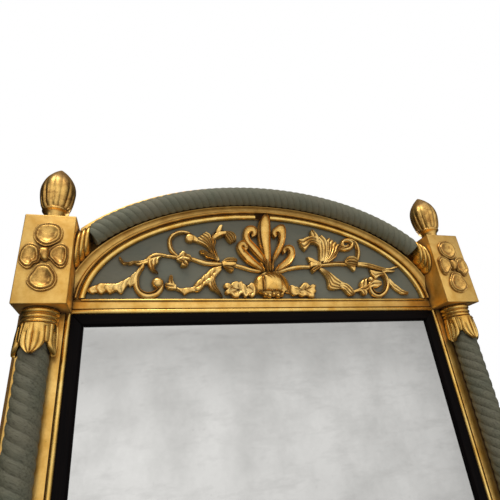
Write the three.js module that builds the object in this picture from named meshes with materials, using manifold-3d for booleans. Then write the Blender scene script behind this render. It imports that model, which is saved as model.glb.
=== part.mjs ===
// Trumeau mirror: a gilt and painted frame with rope-carved columns, a rope-carved arch over a
// painted lunette with carved ornament, corner blocks with finials, and an antiqued plate.
// Millimetres. X is across, Z is up, the wall is the plane y = 0 and the front faces -Y.
// The origin is at the wall, on the centre line, at the height where the arch's ellipses are centred.
import * as THREE from "three";
import { mergeVertices } from "three/addons/utils/BufferGeometryUtils.js";
import Module from "manifold-3d";

const wasm = await Module();
wasm.setup();

// ---------------------------------------------------------------- driving dimensions
const seat = 0.3; // gap left between pieces that sit together

// frame
const slipOuterWide = 820;
const slipOuterHigh = 1218;
const slipFace = 23;
const slipProud = 8.2;
const slipSlope = 0.8;
const slipRound = 4;
const frameThick = 26;
const memberWide = 91; // stiles and corner blocks
const archRise = 20; // the arch's centre above the slip's top edge
const edgeStep = 6.8; // rebate along the stiles' outer front edge
const edgeStepDeep = 8;

// corner blocks
const blockHigh = 179.8;
const blockDeep = 85;
const blockLift = 2; // the upper blocks start this far above the slip's top edge
const blockChamfer = 1.5;

// mouldings of the flat members, measured outward from the slip
const beadSeatWide = 10.4; // rebate that holds the thin bead and leaves a groove beside it
const beadSeatDeep = 4;
const sightBeadWide = 6.6;
const sightBeadHigh = 5.2;
const railFlat = 14.2;
const lunetteBeadSeat = 6;
const lunetteBeadHigh = 5;
const bedDeep = 2; // rebate under the lunette's beads

// plate and backing
const plateThick = 4;
const plateBack = 12.5; // back of the plate from the wall
const plateEdge = 14; // how far the rebate runs behind the stiles
const plateClear = 1; // play at the plate's sides
const boardThick = 5;
const stripWide = 13;
const stripThick = 6;

// arch: ellipses on one centre, each measured outward from the one inside it
const archBeadInset = 15; // the bead's line inside the blocks, at the foot
const archBeadRise = 218.6;
const archBeadWide = 11;
const archBeadHigh = 5.5;
const coveStep = { a: 12, b: 12.7 };
const coveHigh = 7.4;
const coveLap = 7; // the cove runs on under the rope, short of its line by this much
const ropeStep = { a: 43.3, b: 31.7 };
const ropeRadius = 21.9;
const archMargin = 41; // from the rope's line to the board's edge
const ropeStop = 24; // the rope stops this far from the blocks, where its collar starts
const collarRibs = 3;
const panelSunk = 4;
const panelThick = 14;
const beadGap = 15; // half gap in the arch bead, for the palmette

// columns
const columnInset = 48.2; // axis from the stile's inner edge
const columnRadius = 23;
const columnProud = 18.6; // axis in front of the stiles' face
const ropeReeds = 6;
const ropeLead = 100;
const ropeStepsPerTurn = 8;

// turned capitals, leaf collars and bases
const capRingRadius = 32;
const capHigh = 30;
const leafTop = 29;
const leafBulge = 33;
const leafLength = 52;
const leafNotch = 16;
const leafCount = 8;
const leafDip = 1.6; // how far the leaf's hollows lie in
const baseHigh = 38;
const baseRadius = 33;

// finials
const finialHigh = 137;
const finialRadius = 32.5;
const finialDowel = 6;
const finialDowelLong = 22;
const finialLobes = 8;

// carved ornament
const flowerThick = 8;
const branchThick = 9;
const shellWide = 42;
const shellHigh = 31;
const shellProud = 15;
const shellLift = 61;

// lower frieze
const friezeMargin = 22;
const friezePocket = 8;
const friezeThick = 5.6;

// hangers let into the backs of the stiles
const hangerZ = -190;
const pocketWide = 24;
const pocketDeep = 8;
const pocketBelow = 52;
const pocketAbove = 27;
const strapWide = 15;
const strapThick = 1.5;
const strapLong = 45;
const barrelRadius = 3.4;
const barrelBore = 2.2;
const barrelHalf = 5.8;
const ringWire = 1.7;
const ringHalf = 9;
const ringDrop = 10;
const screwShank = 1.8;
const screwHead = 3.3;
const screwHeadHigh = 1.5;
const screwLong = 12;
const screwDrops = [14, 37];

// ---------------------------------------------------------------- derived sizes
const slipHalf = slipOuterWide / 2;
const slipTop = -archRise;
const slipBottom = slipTop - slipOuterHigh;
const memberInner = slipHalf + seat;
const memberOuter = memberInner + memberWide;
const face = -frameThick;
const upperBlockBottom = slipTop + blockLift;
const lowerBlockTop = slipBottom;
const lowerBlockBottom = lowerBlockTop - blockHigh;
const betweenBlocks = memberInner - seat;
const railFoot = slipTop + seat;
const flatTop = railFoot + beadSeatWide + railFlat;
const railTop = flatTop + lunetteBeadSeat;
const archBead = { a: slipHalf - archBeadInset, b: archBeadRise };
const windowEdge = { a: archBead.a - archBeadWide / 2, b: archBead.b - archBeadWide / 2 };
const coveFoot = { a: archBead.a + coveStep.a, b: archBead.b + coveStep.b };
const rope = { a: coveFoot.a + ropeStep.a, b: coveFoot.b + ropeStep.b, radius: ropeRadius };
const archEdge = { a: rope.a + archMargin, b: rope.b + archMargin };
const ropeEnd = betweenBlocks - ropeStop;
const panelFace = face + panelSunk;
const ropeY = face - seat - rope.radius;
const columnX = memberInner + columnInset;
const columnY = face - columnProud;
const columnFoot = lowerBlockTop + seat + baseHigh + seat;
const columnHead = upperBlockBottom - seat - capHigh - seat;
const plateFace = -(plateBack + plateThick);
const slipBack = plateFace - seat;
const rebateX = memberInner + plateEdge + seat;
const beyond = 2 * (slipOuterWide + slipOuterHigh); // reach of a cutting box past all that it cuts

// The carved outlines are drawn for a lunette 395 wide and 218.6 high from its centre, a block 91
// wide, a finial 137 high, a capital 30 high and a base 38 high, and are stretched to fit.
const lunetteShareX = archBead.a / 395;
const lunetteShareZ = archBead.b / 218.6;
const flowerShare = memberWide / 91;
const finialShare = finialHigh / 137;
const capitalShare = capHigh / 30;
const baseShare = baseHigh / 38;

// ---------------------------------------------------------------- materials
function finish(color, roughness, metalness) {
  return new THREE.MeshStandardMaterial({ color, roughness, metalness });
}
const gilt = finish("#c8963c", 0.38, 0.85);
const giltCarved = finish("#d2a045", 0.34, 0.88);
const paint = finish("#696e62", 0.72, 0);
const ebonised = finish("#0e0c0e", 0.45, 0);
const silvered = finish("#c4c3c0", 0.12, 0.9);
const rawWood = finish("#9a7a52", 0.8, 0);
const backing = finish("#6b5137", 0.85, 0);
const plated = finish("#b9b7ae", 0.35, 0.95);

// ---------------------------------------------------------------- solids
function toSolid(geometry) {
  const source = geometry.index ? geometry.toNonIndexed() : geometry;
  const bare = new THREE.BufferGeometry();
  bare.setAttribute("position", source.getAttribute("position").clone());
  const merged = mergeVertices(bare, 1e-4);
  const solid = new wasm.Manifold(
    new wasm.Mesh({
      numProp: 3,
      vertProperties: new Float32Array(merged.attributes.position.array),
      triVerts: new Uint32Array(merged.index.array),
    }),
  );
  return solid;
}

function toGeometry(solid) {
  const mesh = solid.getMesh();
  const geometry = new THREE.BufferGeometry();
  geometry.setAttribute("position", new THREE.BufferAttribute(mesh.vertProperties, 3));
  geometry.setIndex(new THREE.BufferAttribute(mesh.triVerts, 1));
  geometry.computeVertexNormals();
  return geometry;
}

function cut(geometry, ...tools) {
  return toGeometry(tools.reduce((rest, tool) => rest.subtract(toSolid(tool)), toSolid(geometry)));
}

function join(...pieces) {
  return toGeometry(pieces.map(toSolid).reduce((whole, piece) => whole.add(piece)));
}

function keep(geometry, tool) {
  return toGeometry(toSolid(geometry).intersect(toSolid(tool)));
}

// The largest body of a cut piece, without its offcuts.
function mainBody(geometry) {
  const bodies = toSolid(geometry).decompose();
  return toGeometry(bodies.reduce((most, body) => (body.volume() > most.volume() ? body : most)));
}

function slab(x, y, z) {
  const box = new THREE.BoxGeometry(x[1] - x[0], y[1] - y[0], z[1] - z[0]);
  return box.translate((x[0] + x[1]) / 2, (y[0] + y[1]) / 2, (z[0] + z[1]) / 2);
}

// A closed skin over rings of points: capped at both ends, or joined end to end.
function loft(rings, closed = false) {
  const count = rings[0].length;
  const points = rings.flat();
  const faces = [];
  const spans = closed ? rings.length : rings.length - 1;
  for (let i = 0; i < spans; i += 1) {
    const here = i * count;
    const next = ((i + 1) % rings.length) * count;
    for (let j = 0; j < count; j += 1) {
      const k = (j + 1) % count;
      faces.push(here + j, here + k, next + j, here + k, next + k, next + j);
    }
  }
  if (!closed) {
    capEnd(points, faces, 0, count, true);
    capEnd(points, faces, (rings.length - 1) * count, count, false);
  }
  return skin(points, faces);
}

function capEnd(points, faces, start, count, first) {
  const centre = new THREE.Vector3();
  for (let j = 0; j < count; j += 1) centre.addScaledVector(points[start + j], 1 / count);
  const hub = points.push(centre) - 1;
  for (let j = 0; j < count; j += 1) {
    const a = start + j;
    const b = start + ((j + 1) % count);
    faces.push(hub, first ? b : a, first ? a : b);
  }
}

// A geometry from points and faces, turned so that its faces point out.
function skin(points, faces) {
  let volume = 0;
  for (let i = 0; i < faces.length; i += 3) {
    const [a, b, c] = [points[faces[i]], points[faces[i + 1]], points[faces[i + 2]]];
    volume += a.dot(new THREE.Vector3().crossVectors(b, c));
  }
  const geometry = new THREE.BufferGeometry().setFromPoints(points);
  geometry.setIndex(volume < 0 ? faces.reverse() : faces);
  geometry.computeVertexNormals();
  return geometry;
}

function outline(points) {
  return new THREE.Shape(points.map(([x, y]) => new THREE.Vector2(x, y)));
}

// A section in X and Y, run upward.
function upright(section, z0, z1) {
  const geometry = new THREE.ExtrudeGeometry(section, {
    depth: z1 - z0,
    bevelEnabled: false,
    curveSegments: 10,
  });
  return geometry.translate(0, 0, z0);
}

// A section in Z and Y, run across.
function crosswise(section, x0, x1) {
  const geometry = new THREE.ExtrudeGeometry(section, { depth: x1 - x0, bevelEnabled: false });
  const turn = new THREE.Matrix4().makeBasis(
    new THREE.Vector3(0, 0, 1),
    new THREE.Vector3(0, 1, 0),
    new THREE.Vector3(-1, 0, 0),
  );
  return geometry.applyMatrix4(turn).translate(x1, 0, 0);
}

// An outline in X and Z, from its back face to its front face.
function frontal(shape, back, front, curveSegments = 24) {
  const geometry = new THREE.ExtrudeGeometry(shape, {
    depth: back - front,
    bevelEnabled: false,
    curveSegments,
  });
  return geometry.rotateX(Math.PI / 2).translate(0, back, 0);
}

function ellipseShape(a, b, x = 0, z = 0) {
  return new THREE.Shape().absellipse(x, z, a, b, 0, Math.PI * 2, false, 0);
}

function mirrored(geometry) {
  const copy = geometry.clone().scale(-1, 1, 1);
  const index = Array.from(copy.index ? copy.index.array : copy.getAttribute("position").array.keys());
  const corners = copy.index ? index : index.slice(0, copy.getAttribute("position").count);
  copy.setIndex(corners.reverse());
  copy.computeVertexNormals();
  return copy;
}

// ---------------------------------------------------------------- flat members
// The stile's section, to the right of the plate, with a trough for the column.
function stileSection() {
  const trough = columnRadius + seat;
  const half = Math.sqrt(trough ** 2 - columnProud ** 2);
  const start = Math.atan2(columnProud, -half);
  const end = Math.atan2(columnProud, half);
  const section = new THREE.Shape();
  section.moveTo(memberInner, slipBack);
  section.lineTo(memberInner, face + beadSeatDeep);
  section.lineTo(memberInner + beadSeatWide, face + beadSeatDeep);
  section.lineTo(memberInner + beadSeatWide, face);
  section.lineTo(columnX - half, face);
  section.absarc(columnX, columnY, trough, start, end, true);
  section.lineTo(memberOuter - edgeStep, face);
  section.lineTo(memberOuter - edgeStep, face + edgeStepDeep);
  section.lineTo(memberOuter, face + edgeStepDeep);
  section.lineTo(memberOuter, 0);
  section.lineTo(rebateX, 0);
  section.lineTo(rebateX, slipBack);
  section.closePath();
  return section;
}

function stile() {
  const body = upright(stileSection(), lowerBlockTop + seat, upperBlockBottom - seat);
  const pocket = slab(
    [columnX - pocketWide / 2, columnX + pocketWide / 2],
    [-pocketDeep, pocketDeep],
    [hangerZ - pocketBelow, hangerZ + pocketAbove],
  );
  const pilots = screwDrops.map((drop) => screwHole(hangerZ - drop));
  return cut(body, pocket, ...pilots);
}

function screwHole(z) {
  const depth = screwLong + seat;
  const hole = new THREE.CylinderGeometry(screwShank + seat, screwShank + seat, depth, 10);
  const top = -pocketDeep + seat + strapThick + seat;
  return hole.translate(columnX, top - depth / 2, z);
}

function midRail() {
  const section = outline([
    [railFoot, 0],
    [railFoot, face + beadSeatDeep],
    [railFoot + beadSeatWide, face + beadSeatDeep],
    [railFoot + beadSeatWide, face],
    [flatTop, face],
    [flatTop, face + bedDeep],
    [railTop, face + bedDeep],
    [railTop, 0],
  ]);
  return crosswise(section, -betweenBlocks, betweenBlocks);
}

function bottomRail() {
  const top = slipBottom - seat;
  const section = outline([
    [top, 0],
    [top, face + beadSeatDeep],
    [top - beadSeatWide, face + beadSeatDeep],
    [top - beadSeatWide, face],
    [lowerBlockBottom, face],
    [lowerBlockBottom, 0],
  ]);
  const [x, z] = friezeRoom();
  const pocket = slab(x, [face - friezePocket, face + friezePocket], z);
  return cut(crosswise(section, -betweenBlocks, betweenBlocks), pocket);
}

// The pocket in the bottom rail that holds the painted frieze.
function friezeRoom() {
  const half = betweenBlocks - friezeMargin;
  const top = slipBottom - seat - beadSeatWide - friezeMargin;
  return [
    [-half, half],
    [lowerBlockBottom + friezeMargin, top],
  ];
}

function friezePanel() {
  const [x, z] = friezeRoom();
  const back = face + friezePocket - seat;
  return slab([x[0] + seat, x[1] - seat], [back - friezeThick, back], [z[0] + seat, z[1] - seat]);
}

// ---------------------------------------------------------------- slips, beads, plate and backing
const slipOutside = [
  [0, slipBack],
  [0, slipBack - slipProud],
  [slipFace - slipRound, slipBack - slipProud + slipSlope],
  [slipFace, slipBack - slipProud + slipSlope + slipRound],
  [slipFace, slipBack],
];

// One side of the slip with mitred ends; the sides are cut to a trapezium seen from the front.
function slipUpright(side) {
  const section = outline(slipOutside.map(([u, y]) => [side * (slipHalf - u), y]));
  return keep(upright(section, slipBottom, slipTop), mitre(side, 0));
}

function slipAcross(side) {
  const edge = side > 0 ? slipTop : slipBottom;
  const section = outline(slipOutside.map(([u, y]) => [edge - side * u, y]));
  return keep(crosswise(section, -slipHalf, slipHalf), mitre(0, side));
}

function mitre(sideX, sideZ) {
  const middle = (slipTop + slipBottom) / 2;
  const halfHigh = slipOuterHigh / 2;
  const gap = seat / 2;
  const reach = slipHalf;
  const inner = reach - gap; // the long sides' mitres stop before they meet
  const points = sideX
    ? [
        [sideX * slipHalf, middle + halfHigh - gap],
        [sideX * slipHalf, middle - halfHigh + gap],
        [sideX * (slipHalf - reach), middle - halfHigh + reach + gap],
        [sideX * (slipHalf - reach), middle + halfHigh - reach - gap],
      ]
    : [
        [slipHalf - gap, middle + sideZ * halfHigh],
        [-slipHalf + gap, middle + sideZ * halfHigh],
        [-slipHalf + inner, middle + sideZ * (halfHigh - inner + gap)],
        [slipHalf - inner, middle + sideZ * (halfHigh - inner + gap)],
      ];
  return frontal(outline(points), 0, face * 2);
}

// A half-round bead on a seat, from u0 to u1 across its width.
function beadSection(u0, u1, seatY, high, place) {
  const points = [];
  const foot = high * 0.35;
  points.push([u0, seatY]);
  for (let i = 0; i <= 6; i += 1) {
    const turn = (Math.PI * i) / 6;
    const u = (u0 + u1) / 2 - (Math.cos(turn) * (u1 - u0)) / 2;
    points.push([u, seatY - foot - Math.sin(turn) * (high - foot)]);
  }
  points.push([u1, seatY]);
  return outline(points.map(([u, y]) => place(u, y)));
}

function sightBeadUpright(side) {
  const seatY = face + beadSeatDeep - seat;
  const section = beadSection(seat, seat + sightBeadWide, seatY, sightBeadHigh, (u, y) => [
    side * (memberInner + u),
    y,
  ]);
  return upright(section, lowerBlockTop + seat, upperBlockBottom - seat);
}

function sightBeadAcross(side) {
  const seatY = face + beadSeatDeep - seat;
  const foot = side > 0 ? slipTop + seat : slipBottom - seat;
  const section = beadSection(seat, seat + sightBeadWide, seatY, sightBeadHigh, (u, y) => [
    foot + side * u,
    y,
  ]);
  return crosswise(section, -betweenBlocks, betweenBlocks);
}

function plateRoom() {
  const half = rebateX - seat - plateClear;
  return [
    [-half, half],
    [slipBottom + seat, slipTop - seat],
  ];
}

function plate() {
  const [x, z] = plateRoom();
  return slab(x, [plateFace, plateFace + plateThick], z);
}

function backboard() {
  const [x, z] = plateRoom();
  const front = plateFace + plateThick + seat;
  return slab(x, [front, front + boardThick], z);
}

function strip(side, upwards) {
  const [x, z] = plateRoom();
  const front = plateFace + plateThick + seat + boardThick + seat;
  const y = [front, front + stripThick];
  const outer = rebateX - seat;
  if (upwards) return slab(side > 0 ? [outer - stripWide, outer] : [-outer, stripWide - outer], y, z);
  const half = outer - stripWide - seat;
  return slab([-half, half], y, side > 0 ? [z[1] - stripWide, z[1]] : [z[0], z[0] + stripWide]);
}

// ---------------------------------------------------------------- arch
const archSteps = 48;
const coveSteps = 32;
const archOverrun = 0.1; // radians past the half turn, so that a moulding can be cut off level

// A moulding between two ellipses; its profile gives the share across and the depth.
function archBand(inner, outer, profile, steps, from, to) {
  const rings = [];
  for (let i = 0; i <= steps; i += 1) {
    const t = from + ((to - from) * i) / steps;
    rings.push(
      profile.map(([s, y]) => {
        const a = inner.a + (outer.a - inner.a) * s;
        const b = inner.b + (outer.b - inner.b) * s;
        return new THREE.Vector3(a * Math.cos(t), y, b * Math.sin(t));
      }),
    );
  }
  return loft(rings);
}

function ellipseRing(outer, inner, back, front) {
  const section = [
    [0, back],
    [1, back],
    [1, front],
    [0, front],
  ];
  return archBand(inner, outer, section, archSteps, -archOverrun * 3, Math.PI + archOverrun * 3);
}

function aboveRail() {
  return slab([-betweenBlocks, betweenBlocks], [-beyond, beyond], [railTop + seat, beyond]);
}

function archHead() {
  const board = ellipseRing(archEdge, windowEdge, 0, face);
  const inside = { a: windowEdge.a - archBeadWide, b: windowEdge.b - archBeadWide };
  const bed = ellipseRing(coveFoot, inside, face + bedDeep, face - bedDeep);
  return cut(keep(board, aboveRail()), bed);
}

function lunettePanel() {
  const edge = ellipseShape(windowEdge.a - seat, windowEdge.b - seat);
  const board = frontal(edge, panelFace + panelThick, panelFace, archSteps);
  return keep(board, aboveRail());
}

// The cove's section: share across, and how far it stands proud as a share of its height.
const coveSection = [
  [0.01, 0],
  [0.01, 0.36],
  [0.15, 0.45],
  [0.35, 0.66],
  [0.54, 1],
  [0.76, 0.38],
  [1, 0],
];

// The cove, grown by a clearance where a piece is cut to fit over it.
function coveBand(grown = 0) {
  const lap = coveLap - grown;
  const outer = { a: rope.a - lap, b: rope.b - lap };
  const inner = { a: coveFoot.a - grown, b: coveFoot.b - grown };
  const profile = coveSection.map(([s, y]) => [s, face - seat - y * coveHigh - (y ? grown : 0)]);
  return archBand(inner, outer, profile, coveSteps, -archOverrun, Math.PI + archOverrun);
}

function archCove() {
  return keep(coveBand(), aboveRail());
}

function archBeadHalf() {
  const half = archBeadWide / 2 - seat / 2;
  const inner = { a: archBead.a - half, b: archBead.b - half };
  const outer = { a: archBead.a + half, b: archBead.b + half };
  const seatY = face + bedDeep - seat;
  const foot = archBeadHigh * 0.3;
  const profile = [[0, seatY]];
  for (let i = 0; i <= 4; i += 1) {
    const turn = (Math.PI * i) / 4;
    profile.push([0.5 - Math.cos(turn) / 2, seatY - foot - Math.sin(turn) * (archBeadHigh - foot)]);
  }
  profile.push([1, seatY]);
  const band = archBand(inner, outer, profile, archSteps / 2, -archOverrun, Math.PI / 2);
  return keep(band, slab([beadGap, betweenBlocks], [-beyond, beyond], [railTop + seat, beyond]));
}

function lunetteBaseBead() {
  const seatY = face + bedDeep - seat;
  const section = beadSection(seat, lunetteBeadSeat - seat, seatY, lunetteBeadHigh, (u, y) => [
    flatTop + u,
    y,
  ]);
  return crosswise(section, -archBead.a, archBead.a);
}

// One ring of a reeded rope: a crest for each reed.
function reedRing(centre, across, out, radius, twist) {
  const ring = [];
  for (let i = 0; i < ropeReeds; i += 1) {
    const angle = twist + (Math.PI * 2 * i) / ropeReeds;
    const point = centre.clone().addScaledVector(across, Math.cos(angle) * radius);
    ring.push(point.addScaledVector(out, Math.sin(angle) * radius));
  }
  return ring;
}

function archRope() {
  const rings = [];
  const out = new THREE.Vector3(0, -1, 0);
  const start = Math.acos((ropeEnd + rope.radius) / rope.a);
  const steps = Math.round(((Math.PI * (rope.a + rope.b)) / 2 / ropeLead) * ropeStepsPerTurn);
  let run = 0;
  let last = null;
  for (let i = 0; i <= steps; i += 1) {
    const t = Math.PI - start - ((Math.PI - 2 * start) * i) / steps;
    const centre = new THREE.Vector3(rope.a * Math.cos(t), ropeY, rope.b * Math.sin(t));
    const across = new THREE.Vector3(rope.b * Math.cos(t), 0, rope.a * Math.sin(t)).normalize();
    run += last ? last.distanceTo(centre) : 0;
    last = centre;
    rings.push(reedRing(centre, across, out, rope.radius, (run / ropeLead) * Math.PI * 2));
  }
  return keep(loft(rings), slab([-ropeEnd + seat, ropeEnd - seat], [-beyond, beyond], [0, beyond]));
}

// Ribs round the rope's end, widest at the block; flat against the arch board.
function ropeCollar() {
  const ribWide = (betweenBlocks - ropeEnd) / collarRibs;
  const rings = [];
  for (let rib = 0; rib < collarRibs; rib += 1) {
    for (let i = rib ? 1 : 0; i <= ribSteps; i += 1) {
      const x = ropeEnd + ribWide * (rib + i / ribSteps);
      const swell = 0.9 + 0.1 * Math.sin((Math.PI * i) / ribSteps);
      const tall = rope.radius * (1.5 + 0.18 * rib) * swell;
      const deep = rope.radius * (1.18 + 0.09 * rib) * swell;
      rings.push(collarRing(x, tall, deep));
    }
  }
  const front = slab([0, beyond], [-beyond, face - seat], [railTop + seat, beyond]);
  return mainBody(cut(keep(loft(rings), front), coveBand(seat)));
}
const ribSteps = 3;
const collarSides = 16;

function collarRing(x, tall, deep) {
  const height = rope.b * Math.sqrt(Math.max(0, 1 - (x / rope.a) ** 2));
  const z = height - rope.radius * 0.23;
  const ring = [];
  for (let j = 0; j < collarSides; j += 1) {
    const angle = (Math.PI * 2 * j) / collarSides;
    ring.push(new THREE.Vector3(x, ropeY + Math.cos(angle) * deep, z + Math.sin(angle) * tall));
  }
  return ring;
}

// ---------------------------------------------------------------- columns and their turnings
function column() {
  const steps = Math.round(((columnHead - columnFoot) / ropeLead) * ropeStepsPerTurn);
  const rings = [];
  for (let i = 0; i <= steps; i += 1) {
    const z = columnFoot + ((columnHead - columnFoot) * i) / steps;
    const centre = new THREE.Vector3(columnX, columnY, z);
    const twist = ((z - columnFoot) / ropeLead) * Math.PI * 2;
    const across = new THREE.Vector3(1, 0, 0);
    rings.push(reedRing(centre, across, new THREE.Vector3(0, -1, 0), columnRadius, twist));
  }
  return loft(rings);
}

// A turned piece on the column's axis, cut flat where it meets the stile.
function turned(profile, segments = 20) {
  const lathe = new THREE.LatheGeometry(outlinePoints(profile), segments);
  const piece = lathe.rotateX(Math.PI / 2).translate(columnX, columnY, 0);
  return keep(piece, slab([0, beyond], [-beyond, face - seat], [-beyond, beyond]));
}

function outlinePoints(profile) {
  return profile.map(([r, z]) => new THREE.Vector2(r, z));
}

function capitalRings() {
  const foot = columnHead + seat;
  return turned(capitalProfile.map(([r, z]) => [r * capRingRadius, foot + z * capitalShare]));
}
const capitalProfile = [
  [0, 0],
  [0.87, 0],
  [0.97, 3],
  [0.97, 9],
  [0.87, 13],
  [0.87, 16],
  [1, 20],
  [1, 27],
  [0.91, 30],
  [0, 30],
];

function columnBase() {
  const foot = lowerBlockTop + seat;
  return turned(baseProfile.map(([r, z]) => [r * baseRadius, foot + z * baseShare]));
}
const baseProfile = [
  [0, 0],
  [1, 0],
  [1, 12],
  [0.91, 13],
  [0.97, 17],
  [0.97, 22],
  [0.85, 25],
  [0.85, 29],
  [0.91, 32],
  [0.88, 38],
  [0, 38],
];

// A sleeve round the column's head whose lower edge is cut into leaf tips.
function leafCollar() {
  const top = columnHead;
  const bore = columnRadius + seat;
  const rings = [];
  const steps = leafCount * 4;
  for (let i = 0; i < steps; i += 1) {
    const angle = (Math.PI * 2 * i) / steps;
    const share = Math.abs(Math.sin((angle * leafCount) / 2));
    const low = top - leafLength + leafNotch * (1 - share);
    const bulge = leafBulge - leafDip * (1 - share);
    const section = [
      [bore, top],
      [leafTop, top],
      [bulge, top - leafLength * 0.35],
      [bulge - leafDip, low + leafDip * 4],
      [leafBulge - leafDip * 3, low],
      [bore, low],
    ];
    rings.push(
      section.map(([r, z]) => {
        return new THREE.Vector3(columnX + Math.sin(angle) * r, columnY - Math.cos(angle) * r, z);
      }),
    );
  }
  return keep(loft(rings, true), slab([0, beyond], [-beyond, face - seat], [-beyond, beyond]));
}

// ---------------------------------------------------------------- blocks, finials and flowers
function block(bottom) {
  const c = blockChamfer;
  const section = outline([
    [memberInner, 0],
    [memberInner, -blockDeep + c],
    [memberInner + c, -blockDeep],
    [memberOuter - c, -blockDeep],
    [memberOuter, -blockDeep + c],
    [memberOuter, 0],
  ]);
  return upright(section, bottom, bottom + blockHigh);
}

function upperBlock() {
  const top = upperBlockBottom + blockHigh;
  const radius = finialDowel + seat;
  const hole = new THREE.CylinderGeometry(radius, radius, finialDowelLong * 2 + 2, 16);
  return cut(block(upperBlockBottom), hole.rotateX(Math.PI / 2).translate(columnX, -blockDeep / 2, top));
}

// The neck: radius as a share of the bud's, and height.
const finialProfile = [
  [0.6, 0],
  [0.55, 3],
  [0.47, 14],
  [0.48, 30],
  [0.52, 37],
  [0.6, 41],
  [0.6, 45],
  [0.48, 48],
];

// The bud above the neck: radius and height as shares, and how deep its lobes are cut.
const budProfile = [
  [0.56, 0.02, 0.1],
  [0.83, 0.1, 0.09],
  [0.97, 0.21, 0.075],
  [1, 0.32, 0.06],
  [0.95, 0.48, 0.045],
  [0.82, 0.63, 0.03],
  [0.6, 0.79, 0.01],
  [0.36, 0.91, 0],
  [0.16, 0.975, 0],
  [0.03, 1, 0],
];

function finial() {
  const foot = upperBlockBottom + blockHigh + seat;
  const neckTop = finialProfile[finialProfile.length - 1][1] * finialShare;
  const budHigh = finialHigh - neckTop;
  const rings = [finialRing(finialDowel, foot - finialDowelLong, 0), finialRing(finialDowel, foot, 0)];
  for (const [r, z] of finialProfile) {
    rings.push(finialRing(r * finialRadius, foot + z * finialShare + 0.01, 0));
  }
  for (const [r, z, lobe] of budProfile) {
    rings.push(finialRing(r * finialRadius, foot + neckTop + z * budHigh, lobe));
  }
  return loft(rings);
}

function finialRing(radius, z, lobe) {
  const ring = [];
  const count = finialLobes * 2;
  for (let i = 0; i < count; i += 1) {
    const angle = (Math.PI * 2 * i) / count;
    const r = radius * (i % 2 ? 1 - lobe : 1);
    ring.push(new THREE.Vector3(columnX + Math.cos(angle) * r, -blockDeep / 2 + Math.sin(angle) * r, z));
  }
  return ring;
}

// Four dished petals round a button: centre and half sizes of each petal.
const petals = [
  { x: 0, z: 44, a: 25, b: 23 },
  { x: -25, z: 0, a: 16, b: 26 },
  { x: 25, z: 0, a: 16, b: 26 },
  { x: 0, z: -45, a: 24, b: 24 },
];
const petalRim = 6;
const petalDish = 3;
const petalSides = 9;
const flowerNeck = { x: 13, low: -34, high: 30 };
const flowerButton = { x: 9, z: 13, lift: 2 };

function flower(centreZ) {
  const k = flowerShare;
  const back = -blockDeep - seat;
  const front = back - flowerThick;
  const petalShape = (p, rim) => ellipseShape(p.a * k - rim, p.b * k - rim, p.x * k, p.z * k);
  const solids = petals.map((p) => frontal(petalShape(p, 0), back, front, petalSides));
  const dishes = petals.map((p) => {
    return frontal(petalShape(p, petalRim), front + petalDish, front - petalDish, petalSides);
  });
  const { x, low, high } = flowerNeck;
  const neck = slab([-x * k, x * k], [front, back], [low * k, high * k]);
  const button = new THREE.SphereGeometry(1, 8, 4).scale(flowerButton.x * k, petalDish, flowerButton.z * k);
  button.translate(0, front, flowerButton.lift * k);
  return join(cut(join(neck, ...solids), ...dishes), button).translate(columnX, 0, centreZ);
}

// ---------------------------------------------------------------- lunette ornament
// A strip with a crest along a smooth line; widths are given at the line's points.
function ribbon(points, widths, back, high, samples = 8) {
  const line = points.map(([x, z]) => new THREE.Vector3(x * lunetteShareX, 0, z * lunetteShareZ));
  const curve = new THREE.CatmullRomCurve3(line);
  const widthCurve = new THREE.SplineCurve(widths.map((w, i) => new THREE.Vector2(i, w * lunetteShareX)));
  const rings = [];
  for (let i = 0; i <= samples; i += 1) {
    const share = i / samples;
    const at = curve.getPoint(share).setY(back);
    const way = curve.getTangent(share);
    const side = new THREE.Vector3(-way.z, 0, way.x);
    const half = Math.max(0.8, widthCurve.getPoint(share).y / 2);
    rings.push(
      ribbonSection.map(([u, v]) => {
        const point = at.clone().addScaledVector(side, half * u);
        return point.setY(back - high * v);
      }),
    );
  }
  return loft(rings);
}
const ribbonSection = [
  [-1, 0],
  [-0.8, 0.7],
  [0, 1],
  [0.8, 0.7],
  [1, 0],
];

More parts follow.
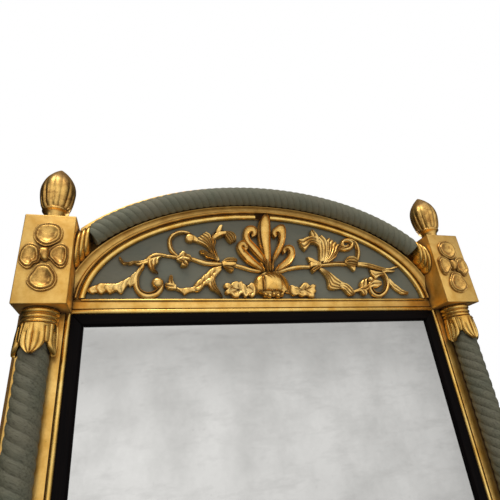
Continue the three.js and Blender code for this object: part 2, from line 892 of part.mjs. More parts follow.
// Lines of the right-hand branch, from the lunette's centre outward, with their widths.
const branchLines = [
  { points: [[30, 79], [52, 88], [84, 96], [112, 98]], widths: [8, 8, 8, 9] },
  { points: [[86, 84], [99, 97], [108, 114]], widths: [5, 17, 5], samples: 4 },
  { points: [[110, 98], [150, 97], [190, 101], [236, 107], [268, 97], [300, 90], [334, 92]],
    widths: [9, 8, 10, 9, 13, 9, 2], samples: 11 },
  { points: [[112, 96], [136, 122], [150, 145], [168, 162]], widths: [6, 26, 40, 14] },
  { points: [[140, 140], [122, 165], [108, 186]], widths: [22, 16, 2], samples: 4 },
  { points: [[130, 150], [108, 158], [92, 164], [78, 150]], widths: [10, 10, 24, 10], samples: 4 },
  { points: [[156, 150], [182, 164], [207, 166], [223, 152], [224, 134], [214, 116], [204, 104]],
    widths: [12, 9, 8, 7, 7, 7, 8], samples: 10 },
  { points: [[186, 90], [200, 102], [206, 118]], widths: [6, 20, 5], samples: 4 },
  { points: [[238, 106], [262, 94], [279, 76], [285, 56], [280, 34], [266, 22], [250, 24], [238, 40]],
    widths: [16, 14, 11, 10, 9, 9, 8, 7], samples: 11 },
  { points: [[236, 104], [246, 92], [256, 78]], widths: [8, 18, 4], samples: 4 },
  { points: [[240, 34], [224, 38], [206, 31], [184, 34], [162, 42], [138, 62], [112, 94]],
    widths: [8, 22, 10, 20, 20, 20, 8], samples: 11 },
  { points: [[138, 64], [126, 42], [118, 16]], widths: [16, 14, 3], samples: 4 },
  { points: [[276, 82], [288, 62], [306, 42], [326, 31], [354, 28], [380, 26]],
    widths: [8, 12, 16, 16, 15, 5], samples: 9 },
];
const ballOnScroll = { x: 247, z: 46, radius: 10 };

function branch() {
  const back = panelFace - seat;
  const strips = branchLines.map((line) => {
    return ribbon(line.points, line.widths, back, branchThick, line.samples);
  });
  const radius = ballOnScroll.radius * lunetteShareX;
  const ball = new THREE.SphereGeometry(radius, 8, 6);
  ball.translate(ballOnScroll.x * lunetteShareX, back - radius * 0.6, ballOnScroll.z * lunetteShareZ);
  return keep(join(...strips, ball), slab([0, beyond], [-beyond, back], [-beyond, beyond]));
}

// Hooks of the palmette: lines and widths of the right-hand pair.
const palmetteHooks = [
  { points: [[6, 76], [22, 110], [38, 140], [50, 170], [42, 190], [28, 184], [20, 172]],
    widths: [7, 8, 9, 10, 12, 14, 9], samples: 10 },
  { points: [[10, 76], [34, 92], [56, 110], [68, 130], [60, 144], [46, 138]],
    widths: [7, 8, 9, 10, 12, 8], samples: 9 },
];
const palmettePetal = [
  { z: 70, y: 0, half: 8, deep: 8 },
  { z: 110, y: 2, half: 8, deep: 9 },
  { z: 160, y: 4, half: 13, deep: 10 },
  { z: 195, y: 8, half: 15, deep: 10 },
  { z: 215, y: 13, half: 13, deep: 8 },
  { z: 232, y: 17, half: 7, deep: 6 },
];

const palmetteRoot = { x: 14, high: 16 };

function palmette() {
  const back = panelFace - seat;
  const kx = lunetteShareX;
  const rings = palmettePetal.map(({ z, y, half, deep }) => {
    return [
      [-half, -y],
      [half, -y],
      [half * 0.7, -y - deep],
      [0, -y - deep * 0.7],
      [-half * 0.7, -y - deep],
    ].map(([u, v]) => new THREE.Vector3(u * kx, back + v, z * lunetteShareZ));
  });
  const hooks = palmetteHooks.flatMap(({ points, widths, samples }) => {
    const hook = ribbon(points, widths, back, branchThick, samples);
    return [hook, mirrored(hook)];
  });
  const low = shellTop() + seat;
  const rootHalf = palmetteRoot.x * kx;
  const root = slab([-rootHalf, rootHalf], [back - branchThick, back], [low, low + palmetteRoot.high]);
  return keep(join(loft(rings), root, ...hooks), slab([-beyond, beyond], [-beyond, back], [low, beyond]));
}

function shellTop() {
  return shellLift - archRise + shellHigh;
}

function shell() {
  const back = panelFace - seat;
  const dome = new THREE.SphereGeometry(1, 16, 10);
  dome.scale(shellWide, shellProud, shellHigh).translate(0, back, shellTop() - shellHigh);
  const room = slab([-beyond, beyond], [-beyond, back], [railTop + seat, shellTop()]);
  return keep(dome, room);
}

// The sprig's leaf stem, from the shell outward and up from the rail.
const sprigLine = [[0, 12], [17, 10], [33, 16], [51, 14], [63, 10]];

function sprig() {
  const back = panelFace - seat;
  const low = railTop + seat;
  const stem = sprigLine.map(([x, z]) => [shellWide + 1 + x, low / lunetteShareZ + z]);
  const strip = ribbon(stem, [14, 14, 22, 26, 6], back, branchThick, 12);
  const dome = new THREE.SphereGeometry(1, 16, 10);
  const reach = 1 + seat / shellHigh;
  dome.scale(shellWide * reach, shellProud * 2, shellHigh * reach);
  dome.translate(0, back, shellTop() - shellHigh);
  return cut(keep(strip, slab([0, beyond], [-beyond, back], [low, beyond])), dome);
}

// ---------------------------------------------------------------- hangers
const strapBack = -pocketDeep + seat + strapThick;
const pivotY = strapBack + barrelBore - 0.1;

function strap() {
  const bar = slab(
    [-strapWide / 2, strapWide / 2],
    [strapBack - strapThick, strapBack],
    [-strapLong, 0],
  );
  const neck = slab([-barrelHalf, barrelHalf], [strapBack - strapThick, pivotY], [-1.5, 1.5]);
  const barrel = acrossCylinder(barrelRadius, barrelHalf);
  const bore = acrossCylinder(barrelBore, barrelHalf + 1);
  const holes = screwDrops.map((drop) => {
    const hole = new THREE.CylinderGeometry(screwShank + seat, screwShank + seat, 6, 10);
    return hole.translate(0, strapBack, -drop);
  });
  const floor = slab([-50, 50], [strapBack - strapThick, 20], [-100, 50]);
  const tongue = cut(bar, slab([-50, 50], [-50, 50], [-barrelRadius, 5]));
  const link = slab([-barrelHalf, barrelHalf], [strapBack - strapThick, strapBack], [-barrelRadius - 1, 0]);
  return cut(keep(join(tongue, link, neck, barrel), floor), bore, ...holes);
}

function acrossCylinder(radius, half) {
  const bar = new THREE.CylinderGeometry(radius, radius, half * 2, 14);
  return bar.rotateZ(Math.PI / 2).translate(0, pivotY, 0);
}

// A D-shaped ring of wire, hanging from its straight bar.
function hangerRing() {
  const corner = 2.6;
  const path = [[-ringHalf + corner, 0], [ringHalf - corner, 0], [ringHalf - 0.8, -0.8]];
  path.push([ringHalf, -corner]);
  for (let i = 0; i <= 8; i += 1) {
    const turn = (Math.PI * i) / 8;
    path.push([Math.cos(turn) * ringHalf, -ringDrop - Math.sin(turn) * ringHalf]);
  }
  path.push([-ringHalf, -corner], [-ringHalf + 0.8, -0.8]);
  const rings = path.map(([x, z], i) => {
    const before = path[(i + path.length - 1) % path.length];
    const after = path[(i + 1) % path.length];
    const way = new THREE.Vector3(after[0] - before[0], 0, after[1] - before[1]).normalize();
    const side = new THREE.Vector3(way.z, 0, -way.x);
    const ring = [];
    for (let j = 0; j < 8; j += 1) {
      const turn = (Math.PI * 2 * j) / 8;
      const point = new THREE.Vector3(x, pivotY, z).addScaledVector(side, Math.cos(turn) * ringWire);
      ring.push(point.add(new THREE.Vector3(0, Math.sin(turn) * ringWire, 0)));
    }
    return ring;
  });
  return loft(rings, true);
}

function screw(drop) {
  const under = strapBack + seat;
  const profile = [
    [0, under - screwLong],
    [screwShank * 0.4, under - screwLong],
    [screwShank, under - screwLong + 3],
    [screwShank, under],
    [screwHead, under],
    [screwHead - 0.6, under + screwHeadHigh],
    [0, under + screwHeadHigh],
  ];
  return new THREE.LatheGeometry(outlinePoints(profile), 8).translate(0, 0, -drop);
}

// ---------------------------------------------------------------- assembly
const mirror = new THREE.Group();

function add(name, geometry, material) {
  const mesh = new THREE.Mesh(geometry, material);
  mesh.name = name;
  mirror.add(mesh);
  return mesh;
}

// The right-hand piece as made, and its twin on the left.
function addPair(name, geometry, material) {
  add(`${name}_right`, geometry, material);
  add(`${name}_left`, mirrored(geometry), material);
}

addPair("stile", stile(), gilt);
add("mid_rail", midRail(), gilt);
add("bottom_rail", bottomRail(), gilt);
add("frieze_panel", friezePanel(), paint);
add("arch_head", archHead(), gilt);
add("lunette_panel", lunettePanel(), paint);
add("mirror_plate", plate(), silvered);
add("backboard", backboard(), backing);

for (const [side, name] of [[1, "right"], [-1, "left"]]) {
  add(`slip_${name}`, slipUpright(side), ebonised);
  add(`sight_bead_${name}`, sightBeadUpright(side), gilt);
  add(`back_strip_${name}`, strip(side, true), rawWood);
}
for (const [side, name] of [[1, "top"], [-1, "bottom"]]) {
  add(`slip_${name}`, slipAcross(side), ebonised);
  add(`sight_bead_${name}`, sightBeadAcross(side), gilt);
  add(`back_strip_${name}`, strip(side, false), rawWood);
}

add("arch_cove", archCove(), gilt);
addPair("arch_bead", archBeadHalf(), gilt);
add("lunette_base_bead", lunetteBaseBead(), gilt);
add("arch_rope", archRope(), paint);
addPair("rope_collar", ropeCollar(), giltCarved);

add("column_right", column(), paint);
add("column_left", column().translate(-2 * columnX, 0, 0), paint);
addPair("capital_rings", capitalRings(), gilt);
addPair("capital_leaves", leafCollar(), giltCarved);
addPair("column_base", columnBase(), gilt);

addPair("upper_block", upperBlock(), gilt);
addPair("lower_block", block(lowerBlockBottom), gilt);
addPair("upper_flower", flower(upperBlockBottom + blockHigh / 2), giltCarved);
addPair("lower_flower", flower(lowerBlockBottom + blockHigh / 2), giltCarved);
addPair("finial", finial(), giltCarved);

add("palmette", palmette(), giltCarved);
add("shell_cushion", shell(), giltCarved);
addPair("branch", branch(), giltCarved);
addPair("sprig", sprig(), giltCarved);

for (const [side, name] of [[1, "right"], [-1, "left"]]) {
  const hanger = new THREE.Group();
  hanger.position.set(side * columnX, 0, hangerZ);
  hanger.add(add(`hanger_strap_${name}`, strap(), plated));
  hanger.add(add(`hanger_ring_${name}`, hangerRing(), plated));
  screwDrops.forEach((drop, i) => {
    hanger.add(add(`hanger_screw_${name}_${i + 1}`, screw(drop), plated));
  });
  mirror.add(hanger);
}

export default mirror;
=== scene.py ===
import bpy
import bmesh
import math
from mathutils import Matrix, Vector


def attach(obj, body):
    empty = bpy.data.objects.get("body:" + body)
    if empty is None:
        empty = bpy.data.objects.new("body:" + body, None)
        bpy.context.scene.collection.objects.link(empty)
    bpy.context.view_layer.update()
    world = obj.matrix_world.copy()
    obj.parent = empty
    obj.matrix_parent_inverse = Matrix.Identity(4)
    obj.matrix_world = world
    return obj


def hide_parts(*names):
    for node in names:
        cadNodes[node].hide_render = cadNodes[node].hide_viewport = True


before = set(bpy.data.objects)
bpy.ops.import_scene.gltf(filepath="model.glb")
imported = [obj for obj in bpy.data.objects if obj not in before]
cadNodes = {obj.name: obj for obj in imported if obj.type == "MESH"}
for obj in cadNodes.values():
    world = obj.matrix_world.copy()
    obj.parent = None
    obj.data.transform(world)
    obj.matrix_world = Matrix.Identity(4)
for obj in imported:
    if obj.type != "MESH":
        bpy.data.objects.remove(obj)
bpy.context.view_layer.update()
metre = 0.001  # pieces are modelled in millimetres and made metres when they are finished

# the levels that several pieces share, in mm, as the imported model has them
levels = {
    "flatFace": -26.0,  # front of the flat members; the wall is y = 0
    "panelFace": -22.0,  # front of the painted lunette
    "blockFace": -84.8,
    "plateFace": -16.5,
    "railTop": 10.9,
    "lunetteFloor": 11.2,
    "slipTop": -20.0,
    "slipBottom": -1238.0,
    "upperBlock": (-18.0, 161.8),
    "lowerBlock": (-1417.8, -1238.0),
    "blockSides": (410.3, 501.3),
    "columnAxis": (458.5, -44.6),
    "columnEnds": (-1199.4, -48.6),
    "betweenBlocks": 410.0,
}
boardFace = levels["flatFace"] - 0.3


cameraLook = {
    "place": (-0.2852, -0.8061, -0.2571),  # metres; solved from the photograph's straight edges
    "turn": (115.419, 5.104, -14.844),
    "lens": 28.03,
    "sensor": 36.0,
}
cameraData = bpy.data.cameras.new("camera")
cameraData.lens = cameraLook["lens"]
cameraData.sensor_width = cameraLook["sensor"]
cameraData.clip_start = 0.01
camera = bpy.data.objects.new("camera", cameraData)
camera.location = cameraLook["place"]
camera.rotation_euler = [math.radians(a) for a in cameraLook["turn"]]
bpy.context.scene.collection.objects.link(camera)
bpy.context.scene.camera = camera


def deselectAll():
    if bpy.context.mode != "OBJECT":
        bpy.ops.object.mode_set(mode="OBJECT")
    bpy.ops.object.select_all(action="DESELECT")


def pick(piece):
    deselectAll()
    piece.select_set(True)
    bpy.context.view_layer.objects.active = piece


def openMesh(piece, everything=True):  # into edit mode with all, or nothing, selected
    pick(piece)
    bpy.ops.object.mode_set(mode="EDIT")
    bpy.ops.mesh.select_mode(type="VERT")
    bpy.ops.mesh.select_all(action="SELECT" if everything else "DESELECT")
    return bmesh.from_edit_mesh(piece.data)


def closeMesh(piece):
    bmesh.update_edit_mesh(piece.data)
    bpy.ops.object.mode_set(mode="OBJECT")


def applyModifier(piece, kind, **settings):
    pick(piece)
    modifier = piece.modifiers.new(kind.lower(), kind)
    for key, value in settings.items():
        setattr(modifier, key, value)
    bpy.ops.object.modifier_apply(modifier=modifier.name)


def cleanMesh(piece, distance=0.01):  # doubles merged and faces turned outward
    openMesh(piece)
    bpy.ops.mesh.remove_doubles(threshold=distance)
    bpy.ops.mesh.normals_make_consistent(inside=False)
    closeMesh(piece)


def joinPieces(pieces, name):
    deselectAll()
    for piece in pieces:
        piece.select_set(True)
    bpy.context.view_layer.objects.active = pieces[0]
    if len(pieces) > 1:
        bpy.ops.object.join()
    whole = bpy.context.view_layer.objects.active
    whole.name = name
    return whole


def copyPiece(piece, name, mirror=False, shift=None):  # a copy with its own mesh
    twin = piece.copy()
    twin.data = piece.data.copy()
    twin.name = name
    bpy.context.scene.collection.objects.link(twin)
    if mirror:
        twin.data.transform(Matrix.Scale(-1, 4, (1, 0, 0)))
        twin.data.flip_normals()
    if shift:
        twin.data.transform(Matrix.Translation(shift))
    return twin


def finishPiece(piece, material, replaced=(), smooth=35, body="frame"):
    pick(piece)
    bpy.ops.object.transform_apply(location=True, rotation=True, scale=True)
    piece.data.transform(Matrix.Scale(metre, 4))
    piece.data.materials.clear()
    piece.data.materials.append(material)
    bpy.ops.object.shade_smooth_by_angle(angle=math.radians(smooth))
    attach(piece, body)
    if replaced:
        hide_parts(*replaced)
    return piece


def turnedPiece(name, profile, centre, steps=72):  # a chain of points spun round an upright axis
    deselectAll()
    bpy.ops.mesh.primitive_plane_add(size=1, location=(0, 0, 0))
    piece = bpy.context.object
    piece.name = name
    mesh = openMesh(piece)
    bpy.ops.mesh.merge(type="CENTER")
    mesh = bmesh.from_edit_mesh(piece.data)
    mesh.verts.ensure_lookup_table()
    mesh.verts[0].co = (centre[0] + profile[0][0], centre[1], profile[0][1])
    for (r0, z0), (r1, z1) in zip(profile, profile[1:]):
        bpy.ops.mesh.extrude_region_move(TRANSFORM_OT_translate={"value": (r1 - r0, 0, z1 - z0)})
    bpy.ops.mesh.select_all(action="SELECT")
    bpy.ops.mesh.spin(steps=steps, angle=2 * math.pi, center=(centre[0], centre[1], 0), axis=(0, 0, 1))
    closeMesh(piece)
    cleanMesh(piece)
    return piece


def trimPiece(piece, point, normal):  # cuts off what lies past the plane and closes the cut
    openMesh(piece)
    bpy.ops.mesh.bisect(plane_co=point, plane_no=normal, use_fill=True, clear_outer=True)
    closeMesh(piece)


def softenedCopy(node, name, width, segments=3, angle=28):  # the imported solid, its edges rounded by gesso
    piece = bpy.data.objects.new(name, cadNodes[node].data.copy())
    bpy.context.scene.collection.objects.link(piece)
    piece.data.transform(Matrix.Scale(1 / metre, 4))
    piece.data.materials.clear()
    pick(piece)
    bpy.ops.mesh.customdata_custom_splitnormals_clear()
    openMesh(piece)
    bpy.ops.mesh.remove_doubles(threshold=0.01)
    bpy.ops.mesh.dissolve_limited(angle_limit=math.radians(2))
    closeMesh(piece)
    applyModifier(piece, "BEVEL", width=width, segments=segments, limit_method="ANGLE",
                  angle_limit=math.radians(angle), use_clamp_overlap=True)
    return piece


def smoothLine(points, steps, even=True):  # (place, direction) pairs along a smooth line through the points
    ends = [points[0], *points, points[-1]]
    fine = []
    for i in range(len(points) - 1):
        p0, p1, p2, p3 = (Vector(p) for p in ends[i:i + 4])
        for k in range(12):
            t = k / 12
            fine.append(0.5 * ((2 * p1) + (p2 - p0) * t + (2 * p0 - 5 * p1 + 4 * p2 - p3) * t * t
                               + (3 * p1 - p0 - 3 * p2 + p3) * t ** 3))
    fine.append(Vector(points[-1]))
    if not even:  # as many steps between any two points
        picked = [round(i * (len(fine) - 1) / steps) for i in range(steps + 1)]
        return [(fine[i], (fine[min(i + 1, len(fine) - 1)] - fine[max(i - 1, 0)]).normalized()) for i in picked]
    lengths = [0.0]
    for a, b in zip(fine, fine[1:]):
        lengths.append(lengths[-1] + (b - a).length)
    line, j = [], 0
    for i in range(steps + 1):
        want = lengths[-1] * i / steps
        while j < len(fine) - 2 and lengths[j + 1] < want:
            j += 1
        span = max(lengths[j + 1] - lengths[j], 1e-6)
        share = min(1, max(0, (want - lengths[j]) / span))
        line.append((fine[j].lerp(fine[j + 1], share), (fine[j + 1] - fine[j]).normalized()))
    return line


def between(values, share):  # a smooth value from a short list, at a share of its length
    at = share * (len(values) - 1)
    i = min(int(at), len(values) - 2)
    t = at - i
    t = t * t * (3 - 2 * t)
    return values[i] * (1 - t) + values[i + 1] * t


def linearColor(code):  # an sRGB hex code as a linear colour
    parts = [int(code[i:i + 2], 16) / 255 for i in (1, 3, 5)]
    return (*[c / 12.92 if c <= 0.04045 else ((c + 0.055) / 1.055) ** 2.4 for c in parts], 1)


def addNode(tree, kind, inputs=None, **settings):  # an input is a value or another node's output
    node = tree.nodes.new(kind)
    for key, value in settings.items():
        setattr(node, key, value)
    for key, value in (inputs or {}).items():
        if isinstance(value, bpy.types.NodeSocket):
            tree.links.new(value, node.inputs[key])
        else:
            node.inputs[key].default_value = value
    return node


def startMaterial(name):
    material = bpy.data.materials.new(name)
    material.use_nodes = True
    tree = material.node_tree
    shader = tree.nodes["Principled BSDF"]
    place = addNode(tree, "ShaderNodeTexCoord").outputs["Object"]
    return material, tree, shader, place


def ramp(tree, source, stops, smooth="LINEAR"):
    node = addNode(tree, "ShaderNodeValToRGB", {"Fac": source})
    node.color_ramp.interpolation = smooth
    while len(node.color_ramp.elements) < len(stops):
        node.color_ramp.elements.new(0.5)
    for element, (position, value) in zip(node.color_ramp.elements, stops):
        element.position = position
        element.color = linearColor(value) if isinstance(value, str) else (value, value, value, 1)
    return node.outputs["Color"]


def blendColors(tree, share, first, second, kind="MIX"):
    node = addNode(tree, "ShaderNodeMix", data_type="RGBA", blend_type=kind)
    for socket, value in ((node.inputs[0], share), (node.inputs[6], first), (node.inputs[7], second)):
        if isinstance(value, bpy.types.NodeSocket):
            tree.links.new(value, socket)
        else:
            socket.default_value = linearColor(value) if isinstance(value, str) else value
    return node.outputs[2]


def spots(tree, place, size, detail=3, rough=0.55, stretch=(1, 1, 1), shift=(0, 0, 0)):  # patches of size mm
    moved = addNode(tree, "ShaderNodeMapping", {"Vector": place, "Scale": stretch, "Location": shift})
    return addNode(tree, "ShaderNodeTexNoise", {
        "Vector": moved.outputs["Vector"], "Scale": 1 / (size * metre), "Detail": detail,
        "Roughness": rough}).outputs["Fac"]


giltLook = {
    "light": "#FFD27A",  # fresh leaf
    "deep": "#E0AA50",  # the same leaf over more bole
    "bole": "#8C4A22",  # red-brown clay where the leaf is rubbed
    "dirtAndShadeTone": "#4E2C0C",  # wax and dust in the hollows, and painted shade there
    "patch": 34,  # mm across one lap of leaf
    "rough": (0.30, 0.46),
    "reach": 7,  # mm: how far the darkening comes out of a hollow, partly dirt and partly painted shade
    "rubbed": (0.66, 0.72),  # lower values rub more of the leaf away
    "recessDustAndShade": 0.0,  # how dark the faces behind the flats are made: dust and painted shade in the recesses
    "recessDustAndShadeDepth": (levels["flatFace"] + 0.8, levels["flatFace"] + 3.2),
    "shadeAndDirtFrom": 0.30,
    "shadeAndDirtTo": 0.86,
    "waves": 0.35,  # how uneven the gesso is
    "grit": 0.10,  # how grainy it is
    "darkerToTop": None,  # heights in mm between which the leaf is made darker towards the top, and how much of it
}


def giltMaterial(name, look):  # gold leaf on bole and gesso: warm soft gloss, brown in the hollows from dirt and painted shade, laps of leaf
    material, tree, shader, place = startMaterial(name)
    laps = spots(tree, place, look["patch"], 4, 0.6)
    fine = spots(tree, place, 3.2, 4, 0.65)
    leaf = blendColors(tree, ramp(tree, laps, [(0.36, 0.0), (0.66, 1.0)]), look["light"], look["deep"])
    leaf = blendColors(tree, ramp(tree, fine, [(0.35, 0.0), (0.75, 0.35)]), leaf, look["deep"])
    rubbed = ramp(tree, spots(tree, place, 11, 5, 0.7, shift=(0.3, 0.1, 0.7)),
                  [(look["rubbed"][0], 0.0), (look["rubbed"][1], 0.75)])
    leaf = blendColors(tree, rubbed, leaf, look["bole"])
    # ambient occlusion browns the leaf in hollows and beside other parts: partly dirt, partly painted shade
    hollow = addNode(tree, "ShaderNodeAmbientOcclusion", {"Distance": look["reach"] * metre}, samples=8)
    shade = ramp(tree, hollow.outputs["AO"], [(look["shadeAndDirtFrom"], 1.0), (look["shadeAndDirtTo"], 0.0)])
    # faces lying behind the flats are darkened: dust and painted shade in the recesses
    if look["recessDustAndShade"]:
        depth = addNode(tree, "ShaderNodeSeparateXYZ", {"Vector": place}).outputs["Y"]
        behind = addNode(tree, "ShaderNodeMapRange", {
            "Value": depth, "From Min": look["recessDustAndShadeDepth"][0] * metre, "From Max": look["recessDustAndShadeDepth"][1] * metre,
            "To Min": 0.0, "To Max": look["recessDustAndShade"]}).outputs[0]
        shade = addNode(tree, "ShaderNodeMath", {0: shade, 1: behind}, operation="MAXIMUM").outputs[0]
    # the leaf is darkened towards the top
    if look["darkerToTop"]:
        up = addNode(tree, "ShaderNodeSeparateXYZ", {"Vector": place}).outputs["Z"]
        brown = addNode(tree, "ShaderNodeMapRange", {
            "Value": up, "From Min": look["darkerToTop"][0] * metre, "From Max": look["darkerToTop"][1] * metre, "To Max": look["darkerToTop"][2]}).outputs[0]
        shade = addNode(tree, "ShaderNodeMath", {0: shade, 1: brown}, operation="MAXIMUM").outputs[0]
    color = blendColors(tree, shade, leaf, look["dirtAndShadeTone"])
    tree.links.new(color, shader.inputs["Base Color"])
    metal = addNode(tree, "ShaderNodeMath", {0: 0.97, 1: shade}, operation="SUBTRACT", use_clamp=True)
    tree.links.new(metal.outputs[0], shader.inputs["Metallic"])
    dull = addNode(tree, "ShaderNodeMapRange", {"Value": fine, "From Min": 0.3, "From Max": 0.7,
                                                "To Min": look["rough"][0], "To Max": look["rough"][1]})
    worn = addNode(tree, "ShaderNodeMath", {0: dull.outputs[0], 1: shade}, operation="MAXIMUM")
    tree.links.new(worn.outputs[0], shader.inputs["Roughness"])
    waves = spots(tree, place, 16, 2, 0.4)
    grit = addNode(tree, "ShaderNodeBump", {"Height": fine, "Strength": look["grit"], "Distance": 0.6 * metre})
    bump = addNode(tree, "ShaderNodeBump", {"Height": waves, "Strength": look["waves"], "Distance": 1.2 * metre,
                                            "Normal": grit.outputs["Normal"]})
    tree.links.new(bump.outputs["Normal"], shader.inputs["Normal"])
    return material


paintLook = {
    "base": "#6B6A58",
    "cool": "#626652",
    "warm": "#757059",
    "rubbed": "#8B8871",
    # dark tone for the dark brush marks and for the painted shade in the grooves
    "hollow": "#262217",
    "rough": 0.62,
    "brush": 2.6,  # mm between brush marks
    "marks": 0.7,  # how clearly they show
}


def paintMaterial(name, look, streak=(1, 1, 1), reach=5, slant=0):  # casein paint: matt, cloudy grey-green, with painted shade in the grooves and beside other parts
    material, tree, shader, place = startMaterial(name)
    clouds = spots(tree, place, 60, 4, 0.6)
    color = blendColors(tree, ramp(tree, clouds, [(0.35, 0.0), (0.65, 1.0)]), look["cool"], look["warm"])
    color = blendColors(tree, 0.45, color, look["base"])
    turned = addNode(tree, "ShaderNodeMapping", {"Vector": place, "Rotation": (0, math.radians(slant), 0)}).outputs[0]
    brush = spots(tree, turned, look["brush"], 5, 0.7, stretch=streak)
    color = blendColors(tree, ramp(tree, brush, [(0.50, 0.0), (0.70, look["marks"])]), color, look["rubbed"])
    color = blendColors(tree, ramp(tree, brush, [(0.32, 0.85 * look["marks"]), (0.48, 0.0)]), color, look["hollow"])
    # ambient occlusion darkens the paint in grooves and next to other parts: painted shade
    hollow = addNode(tree, "ShaderNodeAmbientOcclusion", {"Distance": reach * metre}, samples=8)
    shade = ramp(tree, hollow.outputs["AO"], [(0.35, 0.9), (0.85, 0.0)])
    color = blendColors(tree, shade, color, look["hollow"])
    tree.links.new(color, shader.inputs["Base Color"])
    dull = addNode(tree, "ShaderNodeMapRange", {"Value": brush, "To Min": look["rough"] - 0.1,
                                                "To Max": look["rough"] + 0.12})
    tree.links.new(dull.outputs[0], shader.inputs["Roughness"])
    bump = addNode(tree, "ShaderNodeBump", {"Height": brush, "Strength": 0.22, "Distance": 0.5 * metre})
    tree.links.new(bump.outputs["Normal"], shader.inputs["Normal"])
    return material


def ebonyMaterial(name, stretch):  # black stain on a close-grained wood: satin, faint brown grain along its length
    material, tree, shader, place = startMaterial(name)
    grain = spots(tree, place, 1.8, 6, 0.6, stretch=stretch)
    color = blendColors(tree, ramp(tree, grain, [(0.42, 0.0), (0.72, 1.0)]), "#050304", "#140D0B")
    tree.links.new(color, shader.inputs["Base Color"])
    dull = addNode(tree, "ShaderNodeMapRange", {"Value": grain, "To Min": 0.42, "To Max": 0.62})
    tree.links.new(dull.outputs[0], shader.inputs["Roughness"])
    shader.inputs["Specular IOR Level"].default_value = 0.06
    bump = addNode(tree, "ShaderNodeBump", {"Height": grain, "Strength": 0.25, "Distance": 0.3 * metre})
    tree.links.new(bump.outputs["Normal"], shader.inputs["Normal"])
    return material


plateLook = {"silver": "#DAD9D6", "cloud": "#BDBCB9", "foxing": "#7E7B74", "rough": (0.05, 0.16)}


def plateMaterial(name, look):  # antiqued silvering behind glass: a milky, clouded reflection with faint foxing
    material, tree, shader, place = startMaterial(name)
    clouds = spots(tree, place, 120, 6, 0.62, stretch=(1, 1, 0.8))
    smear = spots(tree, place, 30, 5, 0.65, stretch=(0.45, 1, 1.5), shift=(0.2, 0, 0.5))
    color = blendColors(tree, ramp(tree, clouds, [(0.38, 0.0), (0.70, 0.8)]), look["silver"], look["cloud"])
    color = blendColors(tree, ramp(tree, smear, [(0.50, 0.0), (0.80, 0.6)]), color, look["cloud"])
    specks = ramp(tree, spots(tree, place, 9, 6, 0.75, shift=(0.6, 0, 0.2)), [(0.64, 0.0), (0.78, 0.45)])
    color = blendColors(tree, specks, color, look["foxing"])
    tree.links.new(color, shader.inputs["Base Color"])
    shader.inputs["Metallic"].default_value = 1.0
    dull = addNode(tree, "ShaderNodeMapRange", {"Value": clouds, "From Min": 0.3, "From Max": 0.7,
                                                "To Min": look["rough"][0], "To Max": look["rough"][1]})
    tree.links.new(dull.outputs[0], shader.inputs["Roughness"])
    return material


def rawWoodMaterial(name, light, dark, stretch, line=2.2):  # unfinished wood: dry, fibrous, grain along its length
    material, tree, shader, place = startMaterial(name)
    grain = spots(tree, place, line, 6, 0.65, stretch=stretch)
    broad = spots(tree, place, 40, 3, 0.5, stretch=stretch)
    color = blendColors(tree, ramp(tree, grain, [(0.3, 0.0), (0.7, 1.0)]), light, dark)
    color = blendColors(tree, ramp(tree, broad, [(0.35, 0.0), (0.7, 0.5)]), color, dark)
    tree.links.new(color, shader.inputs["Base Color"])
    shader.inputs["Roughness"].default_value = 0.82
    bump = addNode(tree, "ShaderNodeBump", {"Height": grain, "Strength": 0.3, "Distance": 0.4 * metre})
    tree.links.new(bump.outputs["Normal"], shader.inputs["Normal"])
    return material


def platedMaterial(name):  # nickel-plated steel: grey, bright, faintly scuffed
    material, tree, shader, place = startMaterial(name)
    scuff = spots(tree, place, 1.5, 5, 0.7)
    color = blendColors(tree, ramp(tree, scuff, [(0.3, 0.0), (0.7, 1.0)]), "#C6C3BB", "#A5A198")
    tree.links.new(color, shader.inputs["Base Color"])
    shader.inputs["Metallic"].default_value = 1.0
    dull = addNode(tree, "ShaderNodeMapRange", {"Value": scuff, "To Min": 0.22, "To Max": 0.48})
    tree.links.new(dull.outputs[0], shader.inputs["Roughness"])
    return material


flatGilt = giltMaterial("burnishedLeafOnBole", giltLook)
memberGilt = giltMaterial("leafOnMembers", {**giltLook, "recessDustAndShade": 0.82})
carvedGilt = giltMaterial("leafOnCarving", {**giltLook, "light": "#FFD888", "deep": "#E4B05A", "patch": 22, "rough": (0.18, 0.32), "reach": 7,
                                            "shadeAndDirtFrom": 0.26, "shadeAndDirtTo": 0.90})
beadGilt = giltMaterial("burnishedLeafOnBead", {**giltLook, "light": "#FFDC86", "deep": "#E8B455", "rough": (0.18, 0.30),
                                                "reach": 3})
# the cove's leaf is browned far out from the rope: painted shade of the rope
coveGilt = giltMaterial("leafInCoveWithPaintedShade", {**giltLook, "light": "#FACC72", "deep": "#D09C4C", "reach": 20,
                                           "shadeAndDirtFrom": 0.16, "shadeAndDirtTo": 0.66})
# near-black leaf for a strip painted as shade
seatShadeGilt = giltMaterial("leafPaintedAsSeatShade", {**giltLook, "light": "#4A3014", "deep": "#2E1C0A", "rough": (0.5, 0.7)})
turnedGilt = giltMaterial("leafOnTurnings", {**giltLook, "light": "#FFD47A", "rough": (0.22, 0.32), "reach": 3.4,
                                             "shadeAndDirtFrom": 0.20, "shadeAndDirtTo": 0.80, "waves": 0.12, "grit": 0.03})
rubbedLeaf = {**giltLook, "light": "#FACC74", "deep": "#CC9A50", "rubbed": (0.50, 0.64), "bole": "#9A6A36"}
# the finials' tops are browned: worn leaf and painted shade
budGilt = giltMaterial("rubbedLeafOnBuds", {**rubbedLeaf, "reach": 5, "shadeAndDirtTo": 0.90, "rough": (0.24, 0.38), "darkerToTop": (236, 270, 0.4)})
